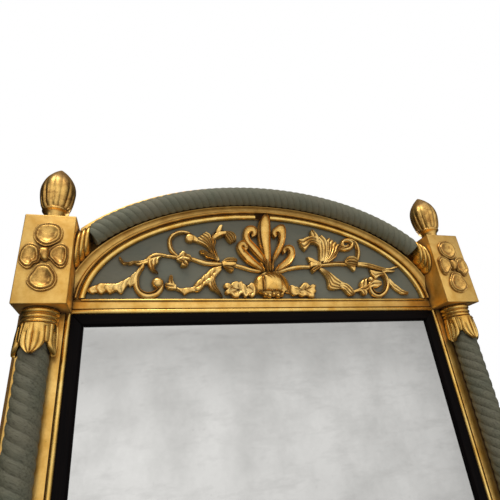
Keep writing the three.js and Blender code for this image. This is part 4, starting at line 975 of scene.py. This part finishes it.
leftBlades = [
    (10, 1, 7, 0, [(-287, 102), (-298, 87), (-306, 78), (-317, 72), (-329, 64), (-343, 63), (-352, 63),
     (-363, 63), (-372, 58), (-381, 54), (-387, 46)],
     [(-293, 59), (-300, 60), (-305, 55), (-310, 59), (-316, 48), (-322, 40), (-332, 46), (-343, 40), (-351, 44),
     (-359, 39), (-368, 43), (-376, 40), (-382, 43), (-387, 46)]),
    (9, 2, 4, 0, [(-266, 123), (-278, 118), (-289, 115), (-301, 114), (-309, 111), (-316, 110), (-321, 113),
     (-325, 120), (-329, 125)],
     [(-268, 110), (-280, 106), (-292, 104), (-299, 108), (-306, 104), (-313, 106), (-320, 105), (-327, 112),
     (-331, 121)]),
    (11, 3, 0, 0, [(-272, 117), (-273, 109), (-269, 98), (-262, 90), (-252, 88)],
     [(-240, 128), (-248, 120), (-249, 111), (-255, 104), (-257, 96), (-252, 89)]),
    (12, 2, 2, 0, [(-213, 125), (-207, 131), (-199, 142), (-192, 135), (-182, 132), (-178, 120)],
     [(-211, 116), (-203, 116), (-195, 116), (-187, 116), (-183, 116), (-179, 118)]),
    (13, 2, 0, 0, [(-210, 123), (-203, 121), (-195, 119), (-189, 116), (-185, 111), (-187, 106)],
     [(-210, 116), (-204, 112), (-200, 110), (-204, 104), (-197, 101), (-188, 104)]),
    (10, 1, 0, 0, [(-186, 185), (-178, 184), (-170, 178), (-163, 173)],
     [(-185, 165), (-178, 165), (-171, 164), (-164, 162)]),
    (11, 5, 0, 0, [(-120, 117), (-135, 136), (-144, 151), (-155, 158), (-165, 162), (-170, 167)],
     [(-118, 124), (-128, 146), (-130, 163), (-132, 178), (-134, 186), (-142, 191)]),
    (12, 3, 0, 0, [(-120, 122), (-133, 132), (-142, 138), (-152, 144), (-159, 143)],
     [(-120, 116), (-132, 121), (-140, 123), (-147, 125), (-151, 132), (-157, 134)]),
    (13, 2, 0, 0, [(-123, 119), (-131, 142), (-132, 160), (-132, 177), (-128, 189)],
     [(-116, 118), (-122, 137), (-126, 151), (-122, 164), (-126, 173), (-124, 186)]),
    (13, 1, 0, 0, [(-123, 184), (-122, 193), (-117, 202), (-113, 209)],
     [(-110, 185), (-109, 194), (-106, 202), (-104, 209)]),
    (14, 1, 0, 0, [(-132, 176), (-124, 186), (-114, 190), (-104, 192), (-96, 194)],
     [(-130, 168), (-123, 172), (-114, 178), (-106, 182), (-96, 185)]),
    (13, 4, 0, 0, [(-102, 192), (-101, 182), (-98, 174), (-94, 168), (-90, 165)],
     [(-96, 194), (-85, 194), (-77, 190), (-74, 183), (-75, 174)]),
    (12, 2, 0, 0, [(-112, 116), (-103, 126), (-93, 128), (-83, 127), (-76, 123)],
     [(-110, 111), (-100, 114), (-90, 115), (-82, 117), (-75, 120)]),
    (13, 1, 0, 0, [(-112, 114), (-98, 115), (-87, 115), (-79, 114)],
     [(-110, 106), (-99, 105), (-89, 105), (-79, 109)]),
    (12, 2, 0, 0, [(-112, 110), (-102, 106), (-93, 105), (-85, 101)],
     [(-108, 103), (-100, 95), (-92, 91), (-86, 94)]),
    (11, 2, 5, 0, [(-114, 107), (-135, 102), (-146, 92), (-158, 80), (-168, 71), (-176, 62)],
     [(-114, 95), (-127, 80), (-136, 65), (-150, 60), (-159, 50), (-169, 44), (-176, 48)]),
    (11, 3, 0, 0, [(-147, 65), (-143, 56), (-140, 50), (-133, 47), (-125, 42), (-117, 35)],
     [(-116, 100), (-127, 80), (-128, 67), (-124, 54), (-119, 44), (-116, 36)]),
    (9, 1, 3, 0, [(-170, 61), (-180, 56), (-189, 55), (-198, 54), (-205, 53), (-215, 59)],
     [(-173, 46), (-181, 45), (-187, 43), (-196, 38), (-202, 44), (-214, 49)]),
    (12, 2, 0, 0, [(-229, 59), (-229, 69), (-228, 77), (-226, 83)],
     [(-213, 60), (-218, 69), (-219, 77), (-221, 83)]),
    (11, 2, 0, 0, [(-213, 62), (-224, 65), (-232, 65), (-236, 64)],
     [(-213, 50), (-224, 49), (-231, 51), (-236, 57)]),
]
rightBlades = [
    (11, 1, 0, 0, [(131, 121), (119, 124), (109, 131), (96, 135)],
     [(130, 116), (118, 116), (109, 118), (100, 122)]),
    (12, 1, 0, 0, [(130, 119), (116, 119), (106, 121), (100, 118)],
     [(129, 113), (117, 110), (107, 108), (100, 105)]),
    (12, 2, 0, 0, [(130, 116), (119, 113), (109, 108), (101, 102)],
     [(130, 109), (122, 103), (113, 97), (105, 92)]),
    (13, 3, 0, 0, [(142, 179), (130, 187), (118, 192), (104, 190), (92, 184), (83, 181)],
     [(135, 162), (124, 170), (111, 169), (102, 157), (93, 150), (86, 161)]),
    (12, 2, 0, 0, [(117, 183), (116, 196), (116, 204), (121, 210)],
     [(143, 184), (135, 197), (128, 204), (123, 209)]),
    (12, 3, 0, 0, [(128, 122), (129, 140), (131, 155), (130, 167), (126, 179)],
     [(147, 126), (154, 148), (158, 166), (157, 184), (148, 196)]),
    (12, 4, 0, 0, [(136, 120), (149, 144), (154, 164), (155, 180), (161, 189)],
     [(146, 121), (164, 135), (177, 149), (184, 160), (191, 168)]),
    (11, 2, 0, 0, [(145, 123), (170, 145), (182, 158), (192, 169), (204, 175)],
     [(150, 120), (172, 134), (183, 150), (193, 158), (204, 160)]),
    (13, 2, 0, 0, [(194, 124), (204, 137), (217, 141), (228, 136), (233, 127)],
     [(195, 121), (207, 124), (219, 123), (231, 121)]),
    (14, 2, 0, 0, [(194, 122), (207, 124), (220, 122), (230, 120)],
     [(198, 117), (206, 111), (216, 110), (226, 114)]),
    (10, 1, 0, 0, [(204, 115), (208, 108), (214, 100)],
     [(224, 116), (222, 108), (218, 100)]),
    (10, 2, 0, 0, [(232, 126), (255, 124), (274, 120), (293, 114), (310, 111)],
     [(229, 114), (252, 112), (267, 108), (286, 103), (304, 101)]),
    (9, 1, 0, 0, [(299, 112), (317, 110), (330, 114), (344, 116)],
     [(299, 105), (315, 105), (329, 108), (344, 113)]),
    (9, 1, 0, 0, [(299, 105), (313, 104), (323, 103), (332, 103)],
     [(298, 98), (309, 99), (320, 99), (332, 101)]),
    (10, 2, 0, 0, [(260, 106), (274, 104), (289, 100), (302, 97)],
     [(262, 92), (267, 85), (270, 78), (282, 86), (298, 90)]),
    (10, 2, 0, 0, [(251, 68), (261, 77), (274, 80), (286, 74)],
     [(250, 55), (260, 58), (270, 57), (285, 65)]),
    (9, 2, 3, 0, [(311, 85), (322, 71), (335, 58), (345, 51), (358, 48)],
     [(305, 70), (314, 57), (327, 45), (340, 40), (355, 41)]),
    (10, 4, 0, 0, [(128, 108), (146, 99), (163, 87), (178, 72), (184, 66)],
     [(124, 102), (135, 87), (139, 73), (138, 55), (150, 51), (170, 54)]),
    (11, 3, 0, 0, [(174, 73), (189, 68), (198, 60), (202, 51), (202, 42)],
     [(168, 57), (178, 50), (183, 41), (190, 36), (200, 39)]),
    (9, 1, 0, 0, [(199, 49), (208, 52), (217, 55), (225, 57)],
     [(199, 42), (208, 45), (216, 47), (224, 49)]),
    (12, 2, 0, 0, [(223, 57), (223, 67), (230, 76), (243, 84)],
     [(242, 57), (244, 67), (244, 75), (244, 83)]),
    (11, 2, 0, 0, [(216, 55), (228, 60), (240, 64), (253, 72)],
     [(216, 48), (226, 46), (238, 48), (249, 57)]),
    (12, 2, 0, 0, [(217, 52), (220, 45), (224, 38), (230, 37)],
     [(236, 52), (239, 48), (237, 42), (232, 37)]),
]
palmetteBlades = [
    (17, 1, 0, 1, [(-10, 101), (-13, 123), (-18, 148), (-22, 178), (-19, 209), (-11, 231), (2, 247)],
     [(0, 101), (3, 123), (6, 149), (9, 179), (13, 210), (13, 232), (6, 248)]),
    (14, 1, 0, 1, [(-13, 112), (-29, 131), (-44, 149), (-56, 169), (-58, 184), (-54, 201), (-45, 210), (-33, 212),
     (-24, 207), (-21, 196), (-25, 186), (-34, 180)],
     [(-4, 120), (-16, 141), (-28, 159), (-39, 171), (-42, 180), (-42, 186), (-41, 189), (-39, 191), (-37, 193),
     (-36, 192), (-36, 190), (-37, 189)]),
    (14, 1, 0, 1, [(-19, 93), (-39, 105), (-58, 119), (-71, 137), (-76, 152), (-72, 164), (-62, 171), (-52, 168),
     (-47, 156), (-51, 146), (-60, 142)],
     [(-12, 101), (-31, 118), (-43, 132), (-51, 141), (-56, 147), (-60, 150), (-62, 153), (-61, 155), (-59, 155),
     (-60, 154), (-61, 152)]),
    (14, 1, 0, 1, [(4, 120), (14, 142), (23, 159), (29, 174), (31, 182), (31, 189), (30, 193), (30, 195),
     (28, 196), (28, 194), (28, 190)],
     [(10, 115), (28, 139), (41, 162), (48, 183), (52, 204), (49, 218), (38, 219), (27, 212), (16, 202),
     (14, 190), (21, 180)]),
    (13, 1, 0, 1, [(12, 102), (31, 120), (44, 132), (50, 142), (51, 148), (50, 150), (48, 152), (48, 152),
     (47, 151), (47, 149)],
     [(17, 93), (37, 104), (55, 117), (66, 136), (67, 152), (62, 161), (52, 164), (42, 160), (34, 151), (37, 139)]),
]
ivyLeaves = {
    "leftA": ([(-110, 63), (-103, 66), (-96, 63), (-91, 68), (-81, 71), (-76, 68), (-70, 71), (-67, 66),
     (-66, 57), (-64, 50), (-66, 42), (-74, 39), (-81, 31), (-91, 32), (-98, 39), (-107, 39), (-110, 46),
     (-104, 51), (-111, 56)], (-85, 50)),
    "leftB": ([(-72, 50), (-72, 61), (-68, 65), (-61, 59), (-55, 62), (-47, 68), (-42, 64), (-39, 54), (-40, 44),
     (-42, 36), (-50, 32), (-57, 36), (-65, 32), (-71, 39)], (-55, 48)),
    "rightA": ([(42, 62), (46, 54), (54, 58), (61, 54), (70, 61), (78, 69), (87, 68), (92, 62), (101, 65),
     (109, 62), (105, 54), (107, 47), (101, 41), (99, 32), (87, 32), (80, 36), (68, 33), (58, 38), (48, 36),
     (40, 44)], (77, 49)),
}
palmetteStrokes = [
    ("strand", 4, 16, [(-9, 118), (-13, 150), (-15, 180), (-13, 212), (-4, 240)]),
    ("flute", 9, 14, [(-1, 95), (0, 107), (1, 118), (2, 132)]),
    ("flute", 8, 14, [(-6, 94), (-7, 106), (-7, 115), (-7, 126)]),
    ("flute", 8, 14, [(4, 95), (6, 106), (8, 116), (10, 127)]),
    ("flute", 7, 13, [(-14, 93), (-16, 101), (-19, 110), (-23, 118)]),
    ("flute", 7, 13, [(11, 93), (15, 101), (21, 109), (26, 116)]),
]


def petalRims(blade):  # thin lines a little inside a petal's two edges
    height, first, second = blade[0], blade[4], blade[5]
    inner = [[(a[0] + (b[0] - a[0]) * share, a[1] + (b[1] - a[1]) * share) for a, b in zip(first, second)]
             for share in (0.13, 0.87)]
    return [("strand", 3.3, height + 0.6, points) for points in inner]


ivyVeins = {
    "left": [("stem", 8, 7, [(-26, 47), (-40, 46), (-60, 47), (-76, 50)]),
             ("strand", 3.4, 11, [(-60, 48), (-78, 50), (-94, 55), (-106, 61)]),
             ("strand", 3.2, 11, [(-78, 50), (-88, 46), (-98, 43), (-107, 41)]),
             ("strand", 3.2, 11, [(-78, 50), (-78, 56), (-80, 62), (-81, 69)]),
             ("strand", 3.2, 11, [(-78, 50), (-80, 44), (-82, 39), (-84, 33)]),
             ("strand", 3.2, 11, [(-44, 46), (-50, 52), (-55, 57), (-62, 62)]),
             ("strand", 3.2, 11, [(-44, 46), (-52, 42), (-58, 38), (-64, 34)])],
    "right": [("stem", 8, 7, [(30, 46), (44, 46), (58, 47), (74, 49)]),
              ("strand", 3.4, 11, [(62, 48), (78, 51), (92, 56), (107, 61)]),
              ("strand", 3.2, 11, [(76, 50), (80, 56), (82, 62), (83, 68)]),
              ("strand", 3.2, 11, [(78, 50), (86, 46), (92, 41), (99, 35)]),
              ("strand", 3.2, 11, [(54, 47), (50, 52), (47, 56), (44, 60)]),
              ("strand", 3.2, 11, [(64, 47), (66, 42), (68, 38), (70, 34)])],
}
cushionHorns = [
    ("flute", 13, 12, [(-21, 87), (-31, 76), (-37, 60), (-38, 43)]),
    ("flute", 13, 14, [(19, 89), (30, 77), (37, 61), (39, 44)]),
    ("flute", 7, 16, [(22, 84), (30, 73), (34, 60), (35, 48)]),
]
cushionFlutes = [
    ("strand", 4, 18, [(-19, 86), (-21, 74), (-21, 60), (-22, 46)]),
    ("flute", 9, 15, [(-41, 42), (-35, 45), (-28, 43), (-22, 40)]),
    ("flute", 6, 18, [(-20, 47), (-12, 49), (-5, 47), (0, 45)]),
    ("flute", 6, 18, [(2, 46), (10, 48), (17, 46), (23, 44)]),
    ("flute", 5.4, 17, [(-15, 87), (-8, 83), (-1, 77), (3, 70)]),
    ("flute", 5.4, 17.6, [(-11, 91), (-3, 87), (5, 80), (10, 71)]),
    ("flute", 5.4, 17, [(-3, 92), (5, 88), (12, 81), (17, 72)]),
    ("flute", 5.4, 16, [(4, 92), (12, 87), (18, 80), (22, 71)]),
]
cushionBeads = [((-19, 38), 5.6), ((-9.5, 36), 6.2), ((0.5, 39), 5.4), ((10, 36), 6.2), ((20, 39), 5.6)]
cushionPanels = {
    "left": ([(-22, 85), (-31, 79), (-37, 68), (-39, 56), (-38, 47), (-31, 46), (-23, 48), (-21, 62), (-20, 76)],
             (-30, 64), [(1, 5), (0.98, 8.5), (0.93, 10.6), (0.84, 12.2), (0.70, 13.2), (0.5, 13.8), (0.25, 14.2), (0.04, 14.3)]),
    "middle": ([(-17, 83), (-8, 91), (4, 92), (14, 88), (22, 79), (25, 66), (23, 52), (14, 46), (-1, 48), (-13, 47),
                (-20, 46), (-19, 60), (-18, 73)],
               (2, 68), [(1, 8.4), (0.97, 10.2), (0.90, 11.7), (0.80, 12.9), (0.6, 14.1), (0.4, 14.8), (0.2, 15.2),
                (0.04, 15.3)]),
}
cushionOutline = [(-21, 90), (-32, 79), (-39, 64), (-40, 48), (-38, 40), (-30, 43), (-25, 39), (-18, 33),
                  (-9, 33), (0, 39), (8, 36), (16, 33), (25, 40), (32, 49), (38, 46), (40, 60), (34, 77),
                  (23, 88), (6, 94), (-10, 94)]
cushionRings = [(1, 4), (0.985, 7.5), (0.95, 9.0), (0.89, 8.6), (0.80, 8.4), (0.66, 9.6), (0.50, 11.2), (0.34, 12.4),
                (0.18, 13.0), (0.04, 13.2)]
ballRings = [(1, 3), (0.98, 6), (0.92, 8.4), (0.80, 10.8), (0.62, 12.8), (0.42, 14.1), (0.22, 14.8), (0.04, 15)]


def roundOutline(centre, radius):
    return [(centre[0] + radius * math.cos(t * math.pi / 8), centre[1] + radius * math.sin(t * math.pi / 8))
            for t in range(16)]


leftBall = carvedForm(roundOutline((-251, 65), 12.4), ballRings, (-251, 65), 40)
leftDisc = carvedForm(roundOutline((-182, 172), 10.5), [(1, 6), (0.96, 9.4), (0.86, 11.4), (0.70, 12.4), (0.50, 13.0),
                                                       (0.26, 13.4), (0.05, 13.5)], (-182, 172), 32)
rightBall = carvedForm(roundOutline((255, 78), 7.5), ballRings, (255, 78), 32)
ivyRings = [(1, 3), (0.96, 8), (0.88, 10.8), (0.76, 11.4), (0.60, 10.2), (0.42, 8.4), (0.22, 7.8), (0.05, 8.4)]
ground = carvingLook["face"]


branchForms = {"left": [carvedBlade(*blade) for blade in leftBlades] + [leftBall, leftDisc],
               "right": [carvedBlade(*blade) for blade in rightBlades] + [rightBall]}
for side, strokes in (("Left", leftBranch), ("Right", rightBranch)):
    branch = fromSlip(carve("branch" + side, strokes, ground, branchForms[side.lower()]))
    finishPiece(branch, carvedGilt, ["branch_" + side.lower()], smooth=55)
    leaves = [carvedForm(outline, ivyRings, centre, 110) for key, (outline, centre) in ivyLeaves.items()
              if key.startswith(side.lower())]
    sprig = fromSlip(carve("sprig" + side, ivyVeins[side.lower()], ground, leaves))
    finishPiece(sprig, carvedGilt, ["sprig_" + side.lower()], smooth=55)
hooks = [carvedBlade(*blade) for blade in palmetteBlades]
rims = [rim for blade in palmetteBlades for rim in petalRims(blade)]
finishPiece(fromSlip(carve("palmetteCarving", palmetteStrokes + rims, ground, hooks)), hollowGilt, ["palmette"],
            smooth=55)
cushion = [carvedForm(cushionOutline, cushionRings, (2, 64))]
cushion += [carvedForm(outline, rings, centre, 60) for outline, centre, rings in cushionPanels.values()]
cushion += [carvedForm(roundOutline(centre, radius), ballRings, centre, 28) for centre, radius in cushionBeads]
finishPiece(fromSlip(carve("shellCushion", cushionHorns + cushionFlutes, ground, cushion)), hollowGilt,
            ["shell_cushion"], smooth=55)
print("lunette carving made")

flowerLook = {
    "top": [(-22, 40), (-22, 54), (-18, 64), (-10, 69), (2, 71), (12, 70), (22, 65), (28, 54), (28, 41),
            (24, 32), (12, 23), (2, 20), (-6, 22), (-16, 29)],
    "left": [(-20, 26), (-30, 26), (-36, 19), (-40, 6), (-40, -10), (-34, -19), (-26, -25), (-18, -23),
             (-14, -16), (-6, -12), (-4, -3), (-6, 9), (-10, 20)],
    "right": [(8, 14), (14, 21), (22, 26), (32, 27), (40, 20), (42, 8), (42, -7), (38, -20), (30, -23),
              (22, -18), (14, -9), (8, -3), (6, 6)],
    "bottom": [(-10, -18), (-14, -28), (-20, -38), (-22, -50), (-16, -59), (-6, -66), (4, -68), (16, -65),
               (24, -59), (28, -48), (26, -36), (18, -23), (12, -16), (2, -14), (-4, -15)],
    "button": [(-8, 16), (2, 18), (8, 15), (10, 2), (8, -8), (2, -10), (-4, -4), (-8, 7)],
    "middles": {"top": (3, 44), "left": (-24, 0), "right": (27, 2), "bottom": (3, -44), "button": (0, 4)},
    "rings": [(1, 2.2), (0.975, 4.2), (0.94, 5.0), (0.905, 4.8), (0.87, 3.4), (0.83, 3.0), (0.79, 4.2), (0.75, 5.8),
              (0.70, 6.0), (0.64, 5.2), (0.56, 3.8), (0.46, 2.5), (0.34, 1.6), (0.22, 1.1), (0.10, 0.9), (0.02, 0.9)],
    "buttonRings": [(1, 2.6), (0.96, 5.2), (0.86, 7.8), (0.70, 9.8), (0.50, 10.9), (0.28, 11.4), (0.05, 11.5)],
    "centres": {"upper": (-458.5, 71.9), "lower": (-458.5, -1327.9)},
}


def blockFlower(name, centre):
    forms = []
    for part, middle in flowerLook["middles"].items():
        rings = flowerLook["buttonRings"] if part == "button" else flowerLook["rings"]
        forms.append(carvedForm(flowerLook[part], rings, middle, 64))
    flower = carve(name, [], levels["blockFace"], forms)
    flower.data.transform(Matrix.Translation((centre[0], 0, centre[1])))
    return flower


for level, centre in flowerLook["centres"].items():
    flowerLeft = blockFlower(level + "FlowerLeft", centre)
    flowerRight = copyPiece(flowerLeft, level + "FlowerRight", mirror=True)
    finishPiece(flowerLeft, petalGilt, [level + "_flower_left"], smooth=60)
    finishPiece(flowerRight, petalGilt, [level + "_flower_right"], smooth=60)
print("flowers made")

leafCollarLook = {
    "radius": 26.4,  # the leaves hang close round the column
    "arc": 28.5,  # the radius where the drawn widths are true
    "top": -48.6,
    "cuff": ("tongue", 9, 6.6, [(-24, -2.5), (-12, -2.5), (12, -2.5), (24, -2.5)]),
    "vein": ("strand", 2.8, 8.4, [(0, -1), (0, -18), (0, -34), (0, -48)]),
    "leaf": (7.6, 4, 0, 0, [(-18, 0), (-20, -14), (-20.6, -27), (-17.5, -38), (-10.5, -46), (-3.4, -50)],
             [(18, 0), (20, -14), (20.6, -27), (17.5, -38), (10.5, -46), (3.4, -50)]),
    "flare": 1.6,  # mm that the tips stand off the column
    "tongue": (6.0, 1, 0, 0, [(18.4, 0), (18.0, -12), (18.2, -24), (20, -33)],
               [(26.4, 0), (26.8, -12), (26.6, -24), (24.8, -33)]),
}


def leafCollar():
    leaves = [carvedBlade(*leafCollarLook["leaf"]), carvedBlade(*leafCollarLook["tongue"])]
    quarter = carve("leafQuarter", [leafCollarLook["cuff"], leafCollarLook["vein"]], 0, leaves)
    x0, y0 = ropeLook["columnAxis"]
    quarters = []
    for turn in range(-1, 3):
        part = copyPiece(quarter, f"leafQuarter{turn + 1}")
        for vertex in part.data.vertices:  # the flat quarter is wrapped round the column
            angle = vertex.co.x / leafCollarLook["arc"] + turn * math.pi / 2
            out = leafCollarLook["radius"] - vertex.co.y + leafCollarLook["flare"] * (vertex.co.z / 50) ** 2
            vertex.co = (x0 + out * math.sin(angle), y0 - out * math.cos(angle), leafCollarLook["top"] + vertex.co.z)
        quarters.append(part)
    bpy.data.objects.remove(quarter)
    collar = joinPieces(quarters, "capitalLeavesRight")
    cleanMesh(collar, 0.01)
    trimPiece(collar, (0, boardFace, 0), (0, 1, 0))
    return collar


leavesRight = leafCollar()
leavesLeft = copyPiece(leavesRight, "capitalLeavesLeft", mirror=True)
finishPiece(leavesRight, turnedGilt, ["capital_leaves_right"], smooth=55)
finishPiece(leavesLeft, turnedGilt, ["capital_leaves_left"], smooth=55)
print("leaf collars made")

finishPiece(softenedCopy("frieze_panel", "friezePanel", 0.8), panelPaint, ["frieze_panel"])
for node, material in (("lunette_panel", panelPaint), ("mirror_plate", plateSilver), ("backboard", plywood),
                       ("back_strip_right", stripUpright), ("back_strip_left", stripUpright),
                       ("back_strip_top", stripAcross), ("back_strip_bottom", stripAcross)):
    cadNodes[node].data.materials.clear()
    cadNodes[node].data.materials.append(material)
for side in ("right", "left"):
    for node in (f"hanger_strap_{side}", f"hanger_ring_{side}", f"hanger_screw_{side}_1", f"hanger_screw_{side}_2"):
        cadNodes[node].data.materials.clear()
        cadNodes[node].data.materials.append(plated)
print("panels and back made")


stageLook = {
    "floorSize": 6.0,
    "front": 2.0,  # brightness of the surroundings in front of the mirror, and how much of it is left elsewhere
    "behind": 0.10,
    "heights": [(0.0, 0.10), (0.17, 0.18), (0.24, 0.45), (0.36, 0.47), (0.44, 0.51), (0.51, 0.54), (0.55, 0.48),
                (0.60, 0.38), (0.627, 0.34), (0.655, 0.82), (0.695, 0.62), (0.75, 0.36), (0.84, 0.52),
                (0.92, 0.90)],  # from straight down to straight up
    "sides": [(0.0, 0.12), (0.18, 0.30), (0.34, 0.86), (0.50, 1.0), (0.68, 0.90), (0.78, 0.84), (0.84, 0.60),
              (0.92, 0.50)],  # from the left to the right
    "matt": 0.60,  # share of the surroundings that lights matt paint; the lamps do the rest
}
deselectAll()
bpy.ops.mesh.primitive_plane_add(size=stageLook["floorSize"], location=(0, -0.6, levels["lowerBlock"][0] * metre - 0.001))
floor = bpy.context.object
floor.name = "floor"
floorMaterial, floorTree, floorShader, floorPlace = startMaterial("palePaintedFloor")
floorTone = ramp(floorTree, spots(floorTree, floorPlace, 300, 3), [(0.3, "#DAD8D4"), (0.7, "#E4E2DE")])
floorTree.links.new(floorTone, floorShader.inputs["Base Color"])
floorShader.inputs["Roughness"].default_value = 0.8
floor.data.materials.append(floorMaterial)
floor.visible_glossy = False  # the plate shows the soft surroundings, not the floor


def softLight(name, place, target, size, power, tint="#FFFFFF"):
    data = bpy.data.lights.new(name, "AREA")
    data.shape = "RECTANGLE"
    data.size, data.size_y = size
    data.energy = power
    data.color = linearColor(tint)[:3]
    lamp = bpy.data.objects.new(name, data)
    lamp.location = place
    lamp.rotation_euler = (Vector(target) - Vector(place)).to_track_quat("-Z", "Y").to_euler()
    bpy.context.scene.collection.objects.link(lamp)
    return lamp


softLight("keyLight", (-0.9, -1.15, 2.5), (0.0, 0.0, -0.1), (1.4, 0.8), 19, "#FFF9F0")
softLight("sideLight", (-2.1, -1.1, 0.9), (0.0, 0.0, 0.1), (0.7, 1.1), 2.5, "#FFFAF4")
softLight("backLight", (0.9, 1.9, -0.2), (0.0, 0.0, -0.6), (1.2, 1.2), 16)

world = bpy.data.worlds.new("studio")
bpy.context.scene.world = world
world.use_nodes = True
sky = world.node_tree
sky.nodes.clear()
way = addNode(sky, "ShaderNodeTexCoord").outputs["Generated"]
parts = addNode(sky, "ShaderNodeSeparateXYZ", {"Vector": way})
frontShare = addNode(sky, "ShaderNodeMapRange", {"Value": parts.outputs["Y"], "From Min": 0.1, "From Max": -0.5,
                                                 "To Min": stageLook["behind"], "To Max": stageLook["front"]})
across = addNode(sky, "ShaderNodeMath", {0: parts.outputs["X"], 1: 0.5, 2: 0.5}, operation="MULTIPLY_ADD")
sideShare = ramp(sky, across.outputs[0], stageLook["sides"])
height = addNode(sky, "ShaderNodeMath", {0: parts.outputs["Z"], 1: 0.5, 2: 0.5}, operation="MULTIPLY_ADD")
upShare = ramp(sky, height.outputs[0], stageLook["heights"])
level = addNode(sky, "ShaderNodeMath", {0: frontShare.outputs[0], 1: upShare}, operation="MULTIPLY")
glow = addNode(sky, "ShaderNodeMath", {0: level.outputs[0], 1: sideShare}, operation="MULTIPLY")
ray = addNode(sky, "ShaderNodeLightPath")
matt = addNode(sky, "ShaderNodeMapRange", {"Value": ray.outputs["Is Diffuse Ray"], "To Min": 1.0,
                                           "To Max": stageLook["matt"]})
strength = addNode(sky, "ShaderNodeMath", {0: glow.outputs[0], 1: matt.outputs[0]}, operation="MULTIPLY")
lit = addNode(sky, "ShaderNodeBackground", {"Color": (1, 1, 1, 1), "Strength": strength.outputs[0]})
seen = addNode(sky, "ShaderNodeBackground", {"Color": (1, 1, 1, 1), "Strength": 1.0})
mixed = addNode(sky, "ShaderNodeMixShader", {0: ray.outputs["Is Camera Ray"], 1: lit.outputs[0], 2: seen.outputs[0]})
addNode(sky, "ShaderNodeOutputWorld", {"Surface": mixed.outputs[0]})
bpy.context.scene.view_settings.view_transform = "Standard"
print("stage made")
